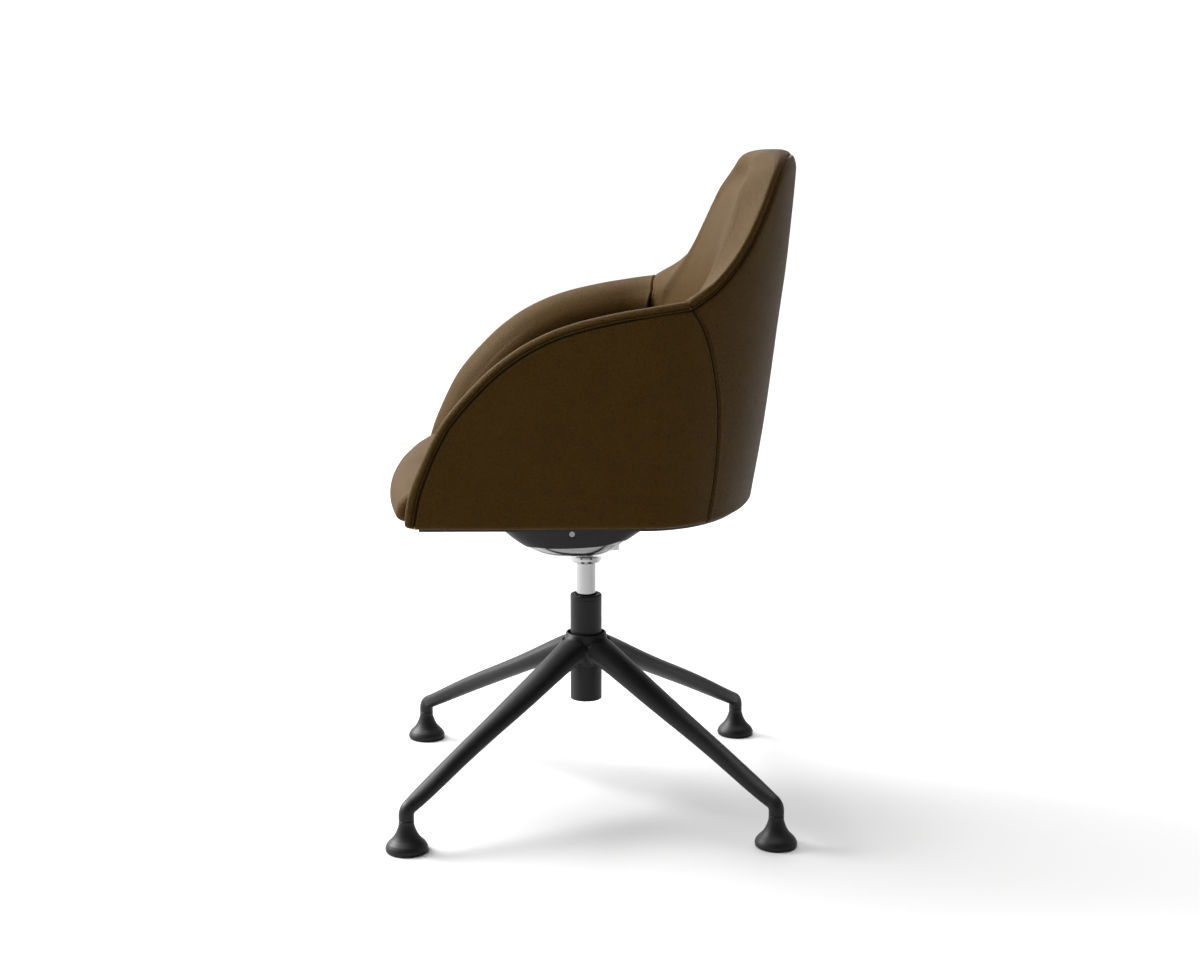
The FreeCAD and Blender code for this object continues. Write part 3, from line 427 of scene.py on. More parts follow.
# ------------------------------------------------------------------ back cover
side_up = SIDE_SEAM[::-1]
total_v, total_u = lengths(side_up)[-1], lengths(BACK_SEAM)[-1]
v_at, u_at = spread(total_v, 5.0), spread(total_u, 5.0)
right = qz(at(side_up, v_at))
left = right * [-1, 1]
low_q = np.linspace(-right[0, 0], right[0, 0], 400)
low_line = outer(low_q, np.full(400, LOW))[0]
u01 = u_at / total_u
low = qz(at(low_line, u01 * lengths(low_line)[-1]))
high = qz(at(BACK_SEAM[::-1], u_at))
q, z = coons(low, high, left, right, u01, v_at / total_v)
BACK_EDGES = [(BACK_SEAM, plain_edge, back), (SIDE_SEAM, sewn_edge, None), (SIDE_SEAM * mirror, sewn_edge, None)]
p, p0, n0 = cover(q, z, BACK_EDGES, 3, 2.6)
g = np.concatenate([under(p[0], n0[0]), p])
g0 = np.concatenate([under(p0[0], n0[0]), p0])
o = shell("back_cover", g, g0 + grid_normals(g0) * 8.0, True)
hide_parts("back_panel")
LEATHER.append(o)

# ------------------------------------------------------------------ side covers
total_a = lengths(ARM_SEAM)[-1]
turn = 0.43 * total_a
v_at, u_at = spread(turn, 4.5), spread(total_a - turn, 4.5)
right_line = SIDE_SEAM[::-1]
right = qz(at(right_line, v_at / turn * lengths(right_line)[-1]))
left = qz(at(ARM_SEAM, v_at))
high = qz(at(ARM_SEAM, turn + u_at))
u01 = u_at / u_at[-1]
low_line = outer(np.linspace(left[0, 0], right[0, 0], 400), np.full(400, LOW))[0]
low = qz(at(low_line, u01 * lengths(low_line)[-1]))
q, z = coons(low, high, left, right, u01, v_at / turn)
p, p0, n0 = cover(q, z, [(ARM_SEAM, plain_edge, arm), (SIDE_SEAM, plain_edge, None)], 5)
g = np.concatenate([under(p[0], n0[0]), p])
g0 = np.concatenate([under(p0[0], n0[0]), p0])
for side, m in (("left", 1), ("right", -1)):
    k = np.array([m, 1, 1])
    rear = g0 - grid_normals(g0) * 8.0
    o = shell("side_cover_" + side, g * k, rear * k, m < 0)
    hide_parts("side_panel_" + side)
    LEATHER.append(o)


# ------------------------------------------------------------------ rolled pads
def crinkles(s, d, gap, middle, long, deep, seed):
    """Short fine creases across the roll where the leather is drawn round it."""
    r = np.random.default_rng(seed)
    out = np.zeros_like(d)
    x = r.uniform(0, gap)
    while x < s[-1]:
        w, a = r.uniform(0.6, 1.0) * gap * 0.3, deep * r.uniform(0.35, 1.0)
        near = np.abs(s - x) < 4 * w
        if near.any():
            c, l = np.interp(x, s, middle) + r.normal(0, 1.2), long * r.uniform(0.6, 1.3)
            lean = r.normal(0, 0.12)
            dd = d[near]
            out[near] -= a * bell(s[near][:, None] - x - lean * (dd - c), w) * bell(dd - c, l)
        x += gap * r.uniform(0.7, 1.3)
    return out


def evened(g, axis, sigma):
    """A grid of points smoothed along one axis, its ends kept."""
    g = np.moveaxis(g, axis, 0)
    n = min(int(3 * sigma), len(g) - 2)
    k = np.exp(-0.5 * (np.arange(-n, n + 1) / sigma) ** 2)
    k /= k.sum()
    ext = np.concatenate([2 * g[0] - g[n:0:-1], g, 2 * g[-1] - g[-2 : -n - 2 : -1]])
    out = sum(k[i] * ext[i : i + len(g)] for i in range(2 * n + 1))
    return np.moveaxis(out, 0, axis)


def pad(r, low_q, depth, crease, ends, in_rows, seed):
    """Seen surface of a pad: over the roll from the outer seam and down its inner side."""
    fine = np.array([0, 0.5, 1.0, 1.5, 2.0, 2.6, 3.2, 3.8, 4.3, 4.7, 5.1, 5.5, 5.9, 6.4, 7.1])
    k = 44
    run = np.concatenate([np.zeros((r.n, 1)), np.cumsum(np.hypot(np.diff(r.a, axis=1), np.diff(r.b, axis=1)), 1)], 1)
    full = run[:, -1]
    d = np.concatenate([
        np.broadcast_to(fine, (r.n, len(fine))),
        fine[-1] + (full[:, None] - fine[-1]) * np.linspace(0, 1, k + 1)[None, 1:],
    ], 1)
    ta, tb = np.gradient(r.a, axis=1), np.gradient(r.b, axis=1)
    a, b, na, nb = (np.stack([np.interp(d[i], run[i], v[i]) for i in range(r.n)]) for v in (r.a, r.b, tb, -ta))
    k2 = np.hypot(na, nb)
    na, nb = na / k2, nb / k2
    P = r.p[:, None] + r.N[:, None] * a[..., None] + r.B[:, None] * b[..., None]
    M = r.N[:, None] * na[..., None] + r.B[:, None] * nb[..., None]
    # inner side
    start_out = r.p + r.B * r.b[:, -1:]
    qe, ze = place(start_out)
    thick = -r.a[:, -1]
    t = (np.arange(1, in_rows + 1) / in_rows) ** 1.25
    qq = qe[:, None] * (1 - t) + low_q[:, None] * t
    zz = ze[:, None] * (1 - t) + (LOW + 1.0) * t
    o_p, o_n = outer(qq, zz)
    first_p, first_n = outer(qe, ze)
    gap = P[:, -1] - (first_p - first_n * thick[:, None])
    away = np.linalg.norm(o_p - start_out[:, None], axis=-1)
    w = (1 - step01(away / (r.reach[:, None] + 8.0)))[..., None]
    lead = np.clip((r.a[:, -6] - r.a[:, -1]) / (r.b[:, -6] - r.b[:, -1]), 0.0, 1.6)[:, None] * r.steep[:, None]
    x = np.clip(away / r.reach[:, None], 0, 1)
    th = thick[:, None] + lead * away * (1 - x) ** 2 + (depth(qq, zz, o_p, o_n) - thick[:, None]) * step01(x)
    # each pad swells from the upright seam at its end
    for end in ends:
        e = r.s if end == 0 else r.s[-1] - r.s
        th = th - 6.0 * (1 - np.sqrt(1 - (1 - np.clip(e / 60.0, 0, 1)) ** 2))[:, None] * step01(away / 60.0)
    Q = o_p - o_n * th[..., None] + gap[:, None] * w
    if len(ends) == 2:
        even = evened(evened(Q, 0, 26.0), 1, 8.0)
        soft = step01((away - 6) / 52.0)[..., None]
        Q = Q * (1 - soft) + even * soft
    P = np.concatenate([P, Q], 1)
    M = np.concatenate([M, -o_n], 1)
    d_all = np.concatenate([d, full[:, None] + away], 1)
    # seam, creases and the seams across both ends
    move = sewn_edge(d_all) * r.groove[:, None]
    if crease:
        move = move + crinkles(r.s, d_all, *crease, seed)
    move = move + 0.5 * waves(P, 110.0, seed) * step01((d_all - 10) / 30)
    along = np.concatenate([np.zeros((1, P.shape[1])), np.cumsum(np.linalg.norm(np.diff(P, axis=0), axis=-1), 0)])
    for end in ends:
        x = along if end == 0 else along[-1] - along
        move = np.minimum(move, 0.6) + plain_edge(x)
    return P + M * move[..., None], P, M, d_all


def close_foot(P):
    """Columns that turn the pad's foot under, from its first section."""
    c = P[0].mean(0)
    flat = unit((c - P[0]) * [1, 1, 0])
    cols = []
    for inset in (15.0, 11.0):
        cols.append(P[0] + flat * np.minimum(inset, np.linalg.norm((c - P[0])[:, :2], axis=1) * 0.8)[:, None] - [0, 0, ROUND])
    for a in (90, 68, 45, 22):
        a = math.radians(a)
        cols.append(P[0] + flat * ROUND * (1 - math.cos(a)) - np.array([0, 0, ROUND * math.sin(a)]))
    return np.concatenate([np.stack(cols), P])


q_meet = place(on_side([MEET]))[0][0]
arm_low = np.linspace(1.875, q_meet, arm.n)
arm_depth = lambda q, z, p, n: 49.0 + 7.0 * step01((z - 430) / 120)
P, P0, M, D = pad(arm, arm_low, arm_depth, (4.1, 0.62 * arm.crest, 3.6, 0.36), (1,), 44, 21)
ARM_ROW = P[:, 7], M[:, 7]
full, full0 = close_foot(P), close_foot(P0)
for side, m in (("left", 1), ("right", -1)):
    k = np.array([m, 1, 1])
    rear = full0 + grid_normals(full0) * 8.0
    o = shell("arm_pad_cover_" + side, full * k, rear * k, m > 0)
    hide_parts("arm_pad_" + side)
    LEATHER.append(o)

back_low = np.linspace(q_meet, -q_meet, back.n)
# the back pad's front: flat across at the top, hollow between the arms
FRONT_MID = Cubic([(430, 163), (500, 166), (600, 169), (700, 171), (760, 173), (800, 179), (822, 188), (850, 201), (880, 214.5), (905, 228), (930, 241)])
FRONT_X = Cubic([(430, 253), (600, 253), (690, 254), (727, 256), (754, 246), (782, 226), (822, 198), (859, 180), (880, 166), (905, 135), (930, 110)])
FRONT_Y = Cubic([(430, 92), (600, 100.5), (690, 106), (727, 125), (754, 149), (782, 167), (822, 186.5), (859, 204), (880, 213), (905, 227), (930, 240)])


def back_depth(q, z, p, n):
    """Thickness that puts the pad's front on that surface."""
    th = np.full(q.shape, 48.0)
    mid, ex, ey = FRONT_MID(z), FRONT_X(z), FRONT_Y(z)
    for _ in range(30):
        x = np.abs(p[..., 0] - n[..., 0] * th)
        front = mid - (mid - ey) * (x / ex) ** 2.2
        th = 0.5 * th + 0.5 * np.clip((p[..., 1] - front) / np.maximum(n[..., 1], 0.25), 24, 95)
    return th


P, P0, M, D = pad(back, back_low, back_depth, (3.9, 0.62 * back.crest, 3.4, 0.5), (0, 1), 60, 22)
BACK_ROW = P[:, 7], M[:, 7]
o = shell("back_pad_cover", P, P0 + grid_normals(P0) * 8.0, True)
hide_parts("back_pad")
LEATHER.append(o)

# ------------------------------------------------------------------ seat cushion
NOSE, NOSE_LONG, NOSE_DROP = -272.0, 75.0, 40.0
TOP = Cubic([(-300, 492), (-240, 492), (-197, 492), (-150, 490.4), (-90, 486), (0, 479), (60, 474.5), (120, 470), (200, 466)])


def cushion_loop(x, shrink):
    """One closed section of the cushion across the chair at x, drawn in by shrink."""
    nose = NOSE + 22.0 * (x / 250.0) ** 2
    rear = YC + (RD(465.0) - 47.0) * math.sqrt(max(0.0, 1 - (x / 264.0) ** 2))
    crown = 2.5 * (1 - (x / 250.0) ** 2)
    pts = []
    # top from the rear edge to the nose
    r = 15.0
    zr = float(TOP(rear)) + crown * 0.3
    for a in np.linspace(-90, 90, 15):
        a = math.radians(a)
        half_h = (zr - 443.0) / 2
        pts.append((rear - r + r * math.cos(a), 443.0 + half_h + half_h * math.sin(a)))
    for t in np.linspace(0, 1, 70)[1:]:
        y = (rear - r) * (1 - t) + (nose + NOSE_LONG) * t
        pts.append((y, float(TOP(y)) + crown * math.sin(PI * min(1, 0.3 + 0.7 * t))))
    # over the nose and under
    ztop, zlow = pts[-1][1], 441.5
    th = np.linspace(PI / 2, 0, 120)
    e = 2 / 2.42
    upper = np.stack([NOSE_LONG * (1 - np.cos(th) ** e), ztop - NOSE_DROP * (1 - np.sin(th) ** e)], 1)
    th = np.linspace(0, PI / 2, 50)
    lower = np.stack([20.0 * (1 - np.cos(th)), ztop - NOSE_DROP - (ztop - NOSE_DROP - zlow) * np.sin(th)], 1)
    curve = fair(np.concatenate([upper, lower[1:]]), 2.0, 0.5)
    curve = at(curve, np.linspace(0, lengths(curve)[-1], 80))
    pts += [(nose + a, b) for a, b in curve[1:]]
    ylow, zl = nose + 20.0, pts[-1][1]
    for t in np.linspace(0, 1, 40)[1:-1]:
        pts.append((ylow * (1 - t) + (rear - r) * t, zl * (1 - t) + 443.0 * t))
    loop = np.array(pts)
    if shrink > 0:
        tan = unit(np.roll(loop, -1, 0) - np.roll(loop, 1, 0))
        nrm = np.stack([-tan[:, 1], tan[:, 0]], 1)
        loop = loop + nrm * shrink
    return np.column_stack([np.full(len(loop), x), loop])


WIDE, EDGE = 260.0, 13.0
xs = list(np.linspace(-(WIDE - EDGE), WIDE - EDGE, 110))
sections = []
for a in np.linspace(90, 6, 15):
    a = math.radians(a)
    sections.append((-(WIDE - EDGE) - EDGE * math.sin(a), EDGE * (1 - math.cos(a)) * 0.94))
sections += [(x, 0.0) for x in xs]
sections += [(-x, s) for x, s in reversed(sections[:15])]
loops = [cushion_loop(x, s) for x, s in sections]
base_loops = np.stack(loops)
base_loops[..., 2] += 0.6 * waves(base_loops, 120.0, 31) * step01((base_loops[..., 2] - 455) / 15)
nl, nv = base_loops.shape[:2]
faces = []
for i in range(nl - 1):
    for j in range(nv):
        j2 = (j + 1) % nv
        faces.append([i * nv + j, (i + 1) * nv + j, (i + 1) * nv + j2, i * nv + j2])
faces.append([j for j in range(nv)])
faces.append([(nl - 1) * nv + j for j in range(nv - 1, -1, -1)])
o = new_object("seat_cushion_cover", base_loops.reshape(-1, 3), faces, smooth=60)
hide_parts("seat_cushion")
LEATHER.append(o)


# ------------------------------------------------------------------ base casting
def casting(name, src, voxel, reach, low_z, high_z, rounds):
    """The base cast in one piece: its form with the corners between legs and collar filled to smooth blends."""
    o = bpy.data.objects.new(name, src.data.copy())
    scene.collection.objects.link(o)
    mod = o.modifiers.new("even_mesh", "REMESH")
    mod.mode = "VOXEL"
    mod.voxel_size = voxel
    bpy.context.view_layer.update()
    me = bpy.data.meshes.new_from_object(o.evaluated_get(bpy.context.evaluated_depsgraph_get()))
    o.modifiers.clear()
    o.data = me
    n = len(me.vertices)
    v = np.empty(n * 3)
    me.vertices.foreach_get("co", v)
    v = v.reshape(-1, 3)
    e = np.empty(len(me.edges) * 2, int)
    me.edges.foreach_get("vertices", e)
    e = e.reshape(-1, 2)
    r, z = np.hypot(v[:, 0], v[:, 1]), v[:, 2]
    w = step01((reach - r) / 0.03) * step01((z - low_z) / 0.008) * step01((high_z - z) / 0.003)
    w = w * step01((r - np.where(z > 0.212, 0.0274, 0.0232)) / 0.001)
    own = np.flatnonzero(w > 0)
    slot_ = np.full(n, -1)
    slot_[own] = np.arange(len(own))
    fwd = np.concatenate([e, e[:, ::-1]])
    fwd = fwd[slot_[fwd[:, 0]] >= 0]
    a, b = slot_[fwd[:, 0]], fwd[:, 1]
    deg = np.bincount(a, minlength=len(own))[:, None]
    wo = w[own][:, None]

    def pull():
        s = np.stack([np.bincount(a, v[b, k], len(own)) for k in range(3)], 1)
        return s / deg - v[own]

    for _ in range(6):
        v[own] += 0.5 * wo * pull()
    for k in range(rounds):
        if k % 10 == 0:
            me.vertices.foreach_set("co", v.ravel())
            me.update()
            nrm = np.empty(n * 3)
            me.vertices.foreach_get("normal", nrm)
            nrm = nrm.reshape(-1, 3)[own]
        d = (pull() * nrm).sum(1, keepdims=True)
        v[own] += 0.7 * wo * np.maximum(d - 1e-7, 0) * nrm
    for _ in range(8):
        v[own] += 0.5 * wo * pull()
    me.vertices.foreach_set("co", v.ravel())
    me.polygons.foreach_set("use_smooth", [True] * len(me.polygons))
    me.update()
    me.set_sharp_from_angle(angle=math.radians(38))
    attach(o, "base")
    return o


star = casting("base_casting", frame["nodes"]["star_base"], 0.0011, 0.095, 0.158, 0.2315, 700)
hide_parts("star_base")

# ------------------------------------------------------------------ stitches
def stitch_row(line, nrm, pitch=3.1, long=2.35, thick=0.42, trim=3.0):
    total = lengths(line)[-1]
    starts = np.arange(trim, total - trim - long, pitch)
    c = lengths(line)
    verts, faces = [], []
    rings = np.linspace(0, 1, 7)
    girth = np.array([0.35, 0.8, 1.0, 1.05, 1.0, 0.8, 0.35])
    lift = np.array([-0.35, 0.05, 0.26, 0.32, 0.26, 0.05, -0.35])
    ang = np.linspace(0, 2 * PI, 7)[:-1]
    r = np.random.default_rng(len(starts))
    for s0 in starts:
        s = s0 + rings * long + r.normal(0, 0.05)
        pos = np.stack([np.interp(s, c, line[:, k]) for k in range(3)], 1)
        n = unit(np.stack([np.interp(s, c, nrm[:, k]) for k in range(3)], 1))
        t = unit(np.gradient(pos, axis=0))
        side = unit(np.cross(t, n))
        pos = pos + n * lift[:, None] + side * (np.linspace(-0.14, 0.14, 7)[:, None])
        b = len(verts)
        for k in range(7):
            for a in ang:
                verts.append(pos[k] + (n[k] * math.sin(a) + side[k] * math.cos(a)) * thick * girth[k])
        for k in range(6):
            for j in range(6):
                j2 = (j + 1) % 6
                faces.append([b + k * 6 + j, b + k * 6 + j2, b + k * 6 + 6 + j2, b + k * 6 + 6 + j])
        faces.append([b + j for j in range(5, -1, -1)])
        faces.append([b + 36 + j for j in range(6)])
    return np.array(verts), faces


def threads(name, rows):
    verts, faces = [], []
    count = 0
    for line, nrm in rows:
        v, f = stitch_row(line, nrm)
        verts.append(v)
        faces += [[x + count for x in y] for y in f]
        count += len(v)
    o = new_object(name, np.concatenate(verts), faces, smooth=0)
    THREADS_AND_GAP_SHADE.append(o)
    return o


def both(row):
    return [row, (row[0] * mirror, row[1] * mirror)]


def seam_gap_shade_strip(name, lines, thick=0.85):
    """A near-black strip laid at the bottom of each seam, seen between the covers' lips: painted shade in the seam
    gaps.
    """
    verts, faces = [], []
    ang = np.linspace(0, 2 * PI, 9)[:-1]
    for line, nrm in lines:
        t = unit(np.gradient(line, axis=0))
        side = unit(np.cross(t, nrm))
        b0 = len(verts)
        for p_, n_, s_ in zip(line, nrm, side):
            verts.extend(p_ + (n_ * math.sin(x) + s_ * math.cos(x)) * thick for x in ang)
        m = len(line)
        for i in range(m - 1):
            for j in range(8):
                j2 = (j + 1) % 8
                faces.append([b0 + i * 8 + j, b0 + i * 8 + j2, b0 + i * 8 + 8 + j2, b0 + i * 8 + 8 + j])
        faces.append([b0 + j for j in range(7, -1, -1)])
        faces.append([b0 + (m - 1) * 8 + j for j in range(8)])
    o = new_object(name, np.array(verts), faces, smooth=0)
    THREADS_AND_GAP_SHADE.append(o)


def sunk(line, below):
    n_ = outer(*place(line))[1]
    return line - n_ * np.reshape(below, (-1, 1)), n_


# near-black strips sunk just under the seams: painted shade in the seam gaps
seam_gap_shade_strip("seam_gap_shade_arms", both(sunk(arm.p, arm.lean + 0.9)))
seam_gap_shade_strip("seam_gap_shade_back_edge", [sunk(back.p, back.lean + 0.9)])
seam_gap_shade_strip("seam_gap_shade_back_cover", both(sunk(dense(SIDE_SEAM, 2.0), 0.9)))
threads("stitching_arms", both(ARM_ROW))
threads("stitching_back_edge", [BACK_ROW])
# on the back cover, beside the seam with the side cover
line = dense(SIDE_SEAM, 1.0)
n = outer(*place(line))[1]
t = unit(np.gradient(line, axis=0))
away = unit(np.cross(n, t))
away = away * np.sign(away[len(away) // 2, 1])
off_q, off_z = place(line + away * STITCH_AT)
pp, _, nn = cover(off_q, off_z, BACK_EDGES, 3)
keep = (off_z > LOW + 2) & (lengths(line) > 9)
threads("stitching_back_cover", both((pp[keep], nn[keep])))

# ------------------------------------------------------------------ materials
def material(name):
    m = bpy.data.materials.new(name)
    m.use_nodes = True
    nt = m.node_tree
    b = nt.nodes["Principled BSDF"]
    return m, nt, b


def node(nt, kind, **sets):
    x = nt.nodes.new(kind)
    for k, v in sets.items():
        if k in x.inputs:
            x.inputs[k].default_value = v
        else:
            setattr(x, k, v)
    return x


def leather():
    m, nt, b = material("brown_leather")
    L = nt.links.new
    co = node(nt, "ShaderNodeTexCoord")
    # colour: a little lighter and darker in soft clouds, and darker in the pores
    cloud = node(nt, "ShaderNodeTexNoise", Scale=14.0, Detail=11.0, Roughness=0.83)
    L(co.outputs["Object"], cloud.inputs["Vector"])
    pores = node(nt, "ShaderNodeTexVoronoi", Scale=330.0)
    pores.feature = "DISTANCE_TO_EDGE"
    warp = node(nt, "ShaderNodeTexNoise", Scale=260.0, Detail=2.0)
    L(co.outputs["Object"], warp.inputs["Vector"])
    mix = node(nt, "ShaderNodeVectorMath", operation="MULTIPLY_ADD")
    mix.inputs[1].default_value = (0.0018, 0.0018, 0.0018)
    L(warp.outputs["Color"], mix.inputs[0])
    L(co.outputs["Object"], mix.inputs[2])
    L(mix.outputs["Vector"], pores.inputs["Vector"])
    ramp = node(nt, "ShaderNodeValToRGB")
    ramp.color_ramp.elements[0].position = 0.30
    ramp.color_ramp.elements[0].color = (0.045, 0.0232, 0.0045, 1)
    ramp.color_ramp.elements[1].position = 0.72
    ramp.color_ramp.elements[1].color = (0.058, 0.0305, 0.0062, 1)
    L(cloud.outputs["Fac"], ramp.inputs["Fac"])
    dark = node(nt, "ShaderNodeMapRange")
    dark.inputs["From Max"].default_value = 0.16
    dark.inputs["To Min"].default_value = 0.55
    dark.inputs["To Max"].default_value = 1.0
    L(pores.outputs["Distance"], dark.inputs["Value"])
    tint = node(nt, "ShaderNodeMix", data_type="RGBA", blend_type="MULTIPLY")
    tint.inputs["Factor"].default_value = 1.0
    L(ramp.outputs["Color"], tint.inputs["A"])
    L(dark.outputs["Result"], tint.inputs["B"])
    L(tint.outputs["Result"], b.inputs["Base Color"])
    # gloss
    rough = node(nt, "ShaderNodeMapRange")
    rough.inputs["To Min"].default_value = 0.48
    rough.inputs["To Max"].default_value = 0.62
    fine = node(nt, "ShaderNodeTexNoise", Scale=95.0, Detail=6.0, Roughness=0.65)
    L(co.outputs["Object"], fine.inputs["Vector"])
    L(fine.outputs["Fac"], rough.inputs["Value"])
    L(rough.outputs["Result"], b.inputs["Roughness"])
    b.inputs["Specular IOR Level"].default_value = 0.05
    b.inputs["Specular Tint"].default_value = (1.0, 0.8, 0.55, 1)
    # grain: pebbles parted by fine pores, and a finer tooth on top
    peb = node(nt, "ShaderNodeMapRange")
    peb.inputs["From Max"].default_value = 0.28
    L(pores.outputs["Distance"], peb.inputs["Value"])
    grain = node(nt, "ShaderNodeBump", Strength=0.55, Distance=0.0005)
    L(peb.outputs["Result"], grain.inputs["Height"])
    tooth = node(nt, "ShaderNodeTexNoise", Scale=900.0, Detail=3.0)
    L(co.outputs["Object"], tooth.inputs["Vector"])
    fineb = node(nt, "ShaderNodeBump", Strength=0.4, Distance=0.0004)
    L(tooth.outputs["Fac"], fineb.inputs["Height"])
    L(grain.outputs["Normal"], fineb.inputs["Normal"])
    L(fineb.outputs["Normal"], b.inputs["Normal"])
    return m


def thread_and_gap_shade_material():
    m, nt, b = material("seam_thread_and_gap_shade")
    L = nt.links.new
    co = node(nt, "ShaderNodeTexCoord")
    n = node(nt, "ShaderNodeTexNoise", Scale=1500.0, Detail=3.0)
    L(co.outputs["Object"], n.inputs["Vector"])
    # near-black stitch colour, also given to the seam strips that paint the shade in the seam gaps
    ramp = node(nt, "ShaderNodeValToRGB")
    ramp.color_ramp.elements[0].color = (0.004, 0.0024, 0.001, 1)
    ramp.color_ramp.elements[1].color = (0.011, 0.0065, 0.003, 1)
    L(n.outputs["Fac"], ramp.inputs["Fac"])
    L(ramp.outputs["Color"], b.inputs["Base Color"])
    b.inputs["Roughness"].default_value = 0.7
    b.inputs["Specular IOR Level"].default_value = 0.1
    bump = node(nt, "ShaderNodeBump", Strength=0.5, Distance=0.0002)
    L(n.outputs["Fac"], bump.inputs["Height"])
    L(bump.outputs["Normal"], b.inputs["Normal"])
    return m


def coated(name, dark, light, rough, bump_scale, bump, spec=0.5, cell=None):
    """Painted or moulded black: a fine textured skin with uneven gloss."""
    m, nt, b = material(name)
    L = nt.links.new
    co = node(nt, "ShaderNodeTexCoord")
    n = node(nt, "ShaderNodeTexNoise", Scale=bump_scale, Detail=4.0, Roughness=0.6)
    L(co.outputs["Object"], n.inputs["Vector"])
    slow = node(nt, "ShaderNodeTexNoise", Scale=35.0, Detail=3.0)
    L(co.outputs["Object"], slow.inputs["Vector"])
    ramp = node(nt, "ShaderNodeValToRGB")
    ramp.color_ramp.elements[0].position = 0.3
    ramp.color_ramp.elements[0].color = (*dark, 1)
    ramp.color_ramp.elements[1].position = 0.7
    ramp.color_ramp.elements[1].color = (*light, 1)
    L(slow.outputs["Fac"], ramp.inputs["Fac"])
    L(ramp.outputs["Color"], b.inputs["Base Color"])
    rr = node(nt, "ShaderNodeMapRange")
    rr.inputs["To Min"].default_value, rr.inputs["To Max"].default_value = rough
    L(n.outputs["Fac"], rr.inputs["Value"])
    L(rr.outputs["Result"], b.inputs["Roughness"])
    b.inputs["Specular IOR Level"].default_value = spec
    bn = node(nt, "ShaderNodeBump", Strength=bump, Distance=0.0002)
    L(n.outputs["Fac"], bn.inputs["Height"])
    L(bn.outputs["Normal"], b.inputs["Normal"])
    return m


def metal(name, colour, rough, scale, bump):
    m, nt, b = material(name)
    L = nt.links.new
    b.inputs["Metallic"].default_value = 1.0
    co = node(nt, "ShaderNodeTexCoord")
    n = node(nt, "ShaderNodeTexNoise", Scale=scale, Detail=4.0)
    L(co.outputs["Object"], n.inputs["Vector"])
    ramp = node(nt, "ShaderNodeValToRGB")
    ramp.color_ramp.elements[0].color = (*[c * 0.92 for c in colour], 1)
    ramp.color_ramp.elements[1].color = (*colour, 1)
    L(n.outputs["Fac"], ramp.inputs["Fac"])
    L(ramp.outputs["Color"], b.inputs["Base Color"])
    rr = node(nt, "ShaderNodeMapRange")
    rr.inputs["To Min"].default_value, rr.inputs["To Max"].default_value = rough
    L(n.outputs["Fac"], rr.inputs["Value"])
    L(rr.outputs["Result"], b.inputs["Roughness"])
    bn = node(nt, "ShaderNodeBump", Strength=bump, Distance=0.0002)
    L(n.outputs["Fac"], bn.inputs["Height"])
    L(bn.outputs["Normal"], b.inputs["Normal"])
    return m


def plywood():
    m, nt, b = material("plywood")
    L = nt.links.new
    co = node(nt, "ShaderNodeTexCoord")
    w = node(nt, "ShaderNodeTexWave", Scale=60.0, Distortion=3.0, Detail=3.0)
    w.bands_direction = "Z"
    L(co.outputs["Object"], w.inputs["Vector"])
    ramp = node(nt, "ShaderNodeValToRGB")
    ramp.color_ramp.elements[0].color = (0.42, 0.27, 0.14, 1)
    ramp.color_ramp.elements[1].color = (0.58, 0.42, 0.25, 1)
    L(w.outputs["Fac"], ramp.inputs["Fac"])
    L(ramp.outputs["Color"], b.inputs["Base Color"])
    b.inputs["Roughness"].default_value = 0.65
    bn = node(nt, "ShaderNodeBump", Strength=0.2, Distance=0.0003)
    L(w.outputs["Fac"], bn.inputs["Height"])
    L(bn.outputs["Normal"], b.inputs["Normal"])
    return m


MATS = {
    "brown_leather": leather(),
    "black_powder_coat": coated("black_powder_coat", (0.008, 0.008, 0.0083), (0.011, 0.011, 0.0114), (0.40, 0.55), 1300.0, 0.22, 0.22),
    "black_plastic": coated("black_plastic", (0.006, 0.006, 0.0063), (0.009, 0.009, 0.0093), (0.42, 0.56), 1900.0, 0.25, 0.25),
    "zinc_steel": metal("zinc_steel", (0.55, 0.55, 0.54), (0.28, 0.42), 300.0, 0.1),
    "chrome": metal("chrome", (0.34, 0.34, 0.345), (0.05, 0.09), 60.0, 0.0),
    "polished_aluminium": metal("polished_aluminium", (0.42, 0.42, 0.42), (0.12, 0.22), 180.0, 0.04),
    "bumper_rubber": coated("bumper_rubber", (0.015, 0.015, 0.015), (0.02, 0.02, 0.02), (0.6, 0.75), 900.0, 0.2, 0.4),
    "plywood": plywood(),
}
slot_of = {s["node"]: s["material_slot"] for s in frame["record"]["subparts"]}
for name, o in frame["nodes"].items():
    o.data.materials.clear()
    o.data.materials.append(MATS[slot_of[name]])
# the lever rod's end shows in the cover's hole; its steel is made darker than the chrome, painted shade for the dark
# hole
frame["nodes"]["lever_rod"].data.materials[0] = metal("rod_steel_darkened_for_hole_shade", (0.22, 0.22, 0.22), (0.2, 0.3), 120.0, 0.05)
star.data.materials.clear()
star.data.materials.append(MATS["black_powder_coat"])
for o in LEATHER:
    o.data.materials.append(MATS["brown_leather"])
# stitches and the seam strips of painted gap shade share this near-black material
seam_thread_and_gap_shade = thread_and_gap_shade_material()
for o in THREADS_AND_GAP_SHADE:
    o.data.materials.append(seam_thread_and_gap_shade)

# ------------------------------------------------------------------ floor and light
me = bpy.data.meshes.new("floor")
me.from_pydata([(-60, -60, 0), (60, -60, 0), (60, 60, 0), (-60, 60, 0)], [], [(0, 1, 2, 3)])
floor = bpy.data.objects.new("floor", me)
scene.collection.objects.link(floor)
m, nt, b = material("pale_floor")
b.inputs["Base Color"].default_value = (0.50, 0.50, 0.50, 1)
b.inputs["Roughness"].default_value = 0.7
b.inputs["Specular IOR Level"].default_value = 0.1
me.materials.append(m)

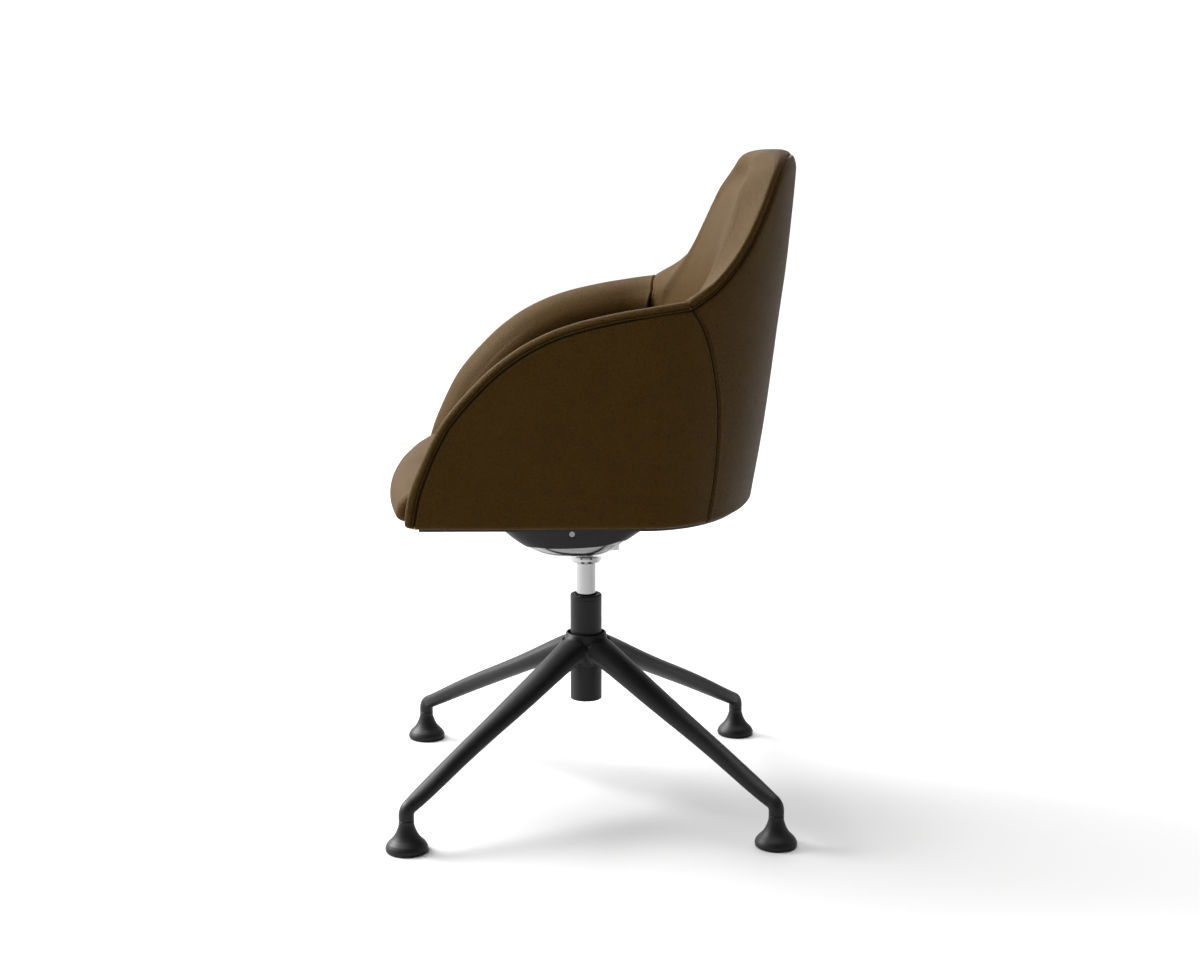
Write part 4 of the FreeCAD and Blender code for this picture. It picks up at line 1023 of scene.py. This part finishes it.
world = bpy.data.worlds.new("studio")
scene.world = world
world.use_nodes = True
nt = world.node_tree
bg = nt.nodes["Background"]
co = node(nt, "ShaderNodeTexCoord")
sep = node(nt, "ShaderNodeSeparateXYZ")
nt.links.new(co.outputs["Generated"], sep.inputs["Vector"])
mr = node(nt, "ShaderNodeMapRange")
mr.interpolation_type = "SMOOTHSTEP"
mr.inputs["From Min"].default_value = -0.95
mr.inputs["From Max"].default_value = -0.55
mr.inputs["To Min"].default_value = 1.15
mr.inputs["To Max"].default_value = 0.05
nt.links.new(sep.outputs["X"], mr.inputs["Value"])
band = node(nt, "ShaderNodeMapRange")
band.interpolation_type = "SMOOTHSTEP"
band.inputs["From Min"].default_value = 0.085
band.inputs["From Max"].default_value = 0.15
band.inputs["To Min"].default_value = 1.05
band.inputs["To Max"].default_value = 0.0
nt.links.new(sep.outputs["Z"], band.inputs["Value"])
most = node(nt, "ShaderNodeMath", operation="MAXIMUM")
nt.links.new(mr.outputs["Result"], most.inputs[0])
nt.links.new(band.outputs["Result"], most.inputs[1])
nt.links.new(most.outputs["Value"], bg.inputs["Strength"])
bg.inputs["Color"].default_value = (1, 1, 1, 1)


def area(name, at_, to, size, power):
    d = bpy.data.lights.new(name, "AREA")
    d.shape = "RECTANGLE"
    d.size, d.size_y = size
    d.energy = power
    o = bpy.data.objects.new(name, d)
    scene.collection.objects.link(o)
    o.location = at_
    o.rotation_mode = "QUATERNION"
    o.rotation_quaternion = (Vector(to) - Vector(at_)).to_track_quat("-Z", "Y")
    return o


area("key_front", (-1.3, -3.2, 2.55), (0, 0, 0.7), (2.2, 2.0), 395)
area("rear_rim", (0.4, 3.2, 1.6), (0.1, 0.2, 0.7), (0.8, 1.6), 7)
d = bpy.data.lights.new("overhead", "SUN")
d.energy = 6.6
d.angle = math.radians(75)
o = bpy.data.objects.new("overhead", d)
scene.collection.objects.link(o)
o.location = (0, 0, 4)
o.rotation_mode = "QUATERNION"
o.rotation_quaternion = Vector((0.36, 0.25, -0.9)).to_track_quat("-Z", "Y")

# ------------------------------------------------------------------ end
bpy.context.view_layer.update()
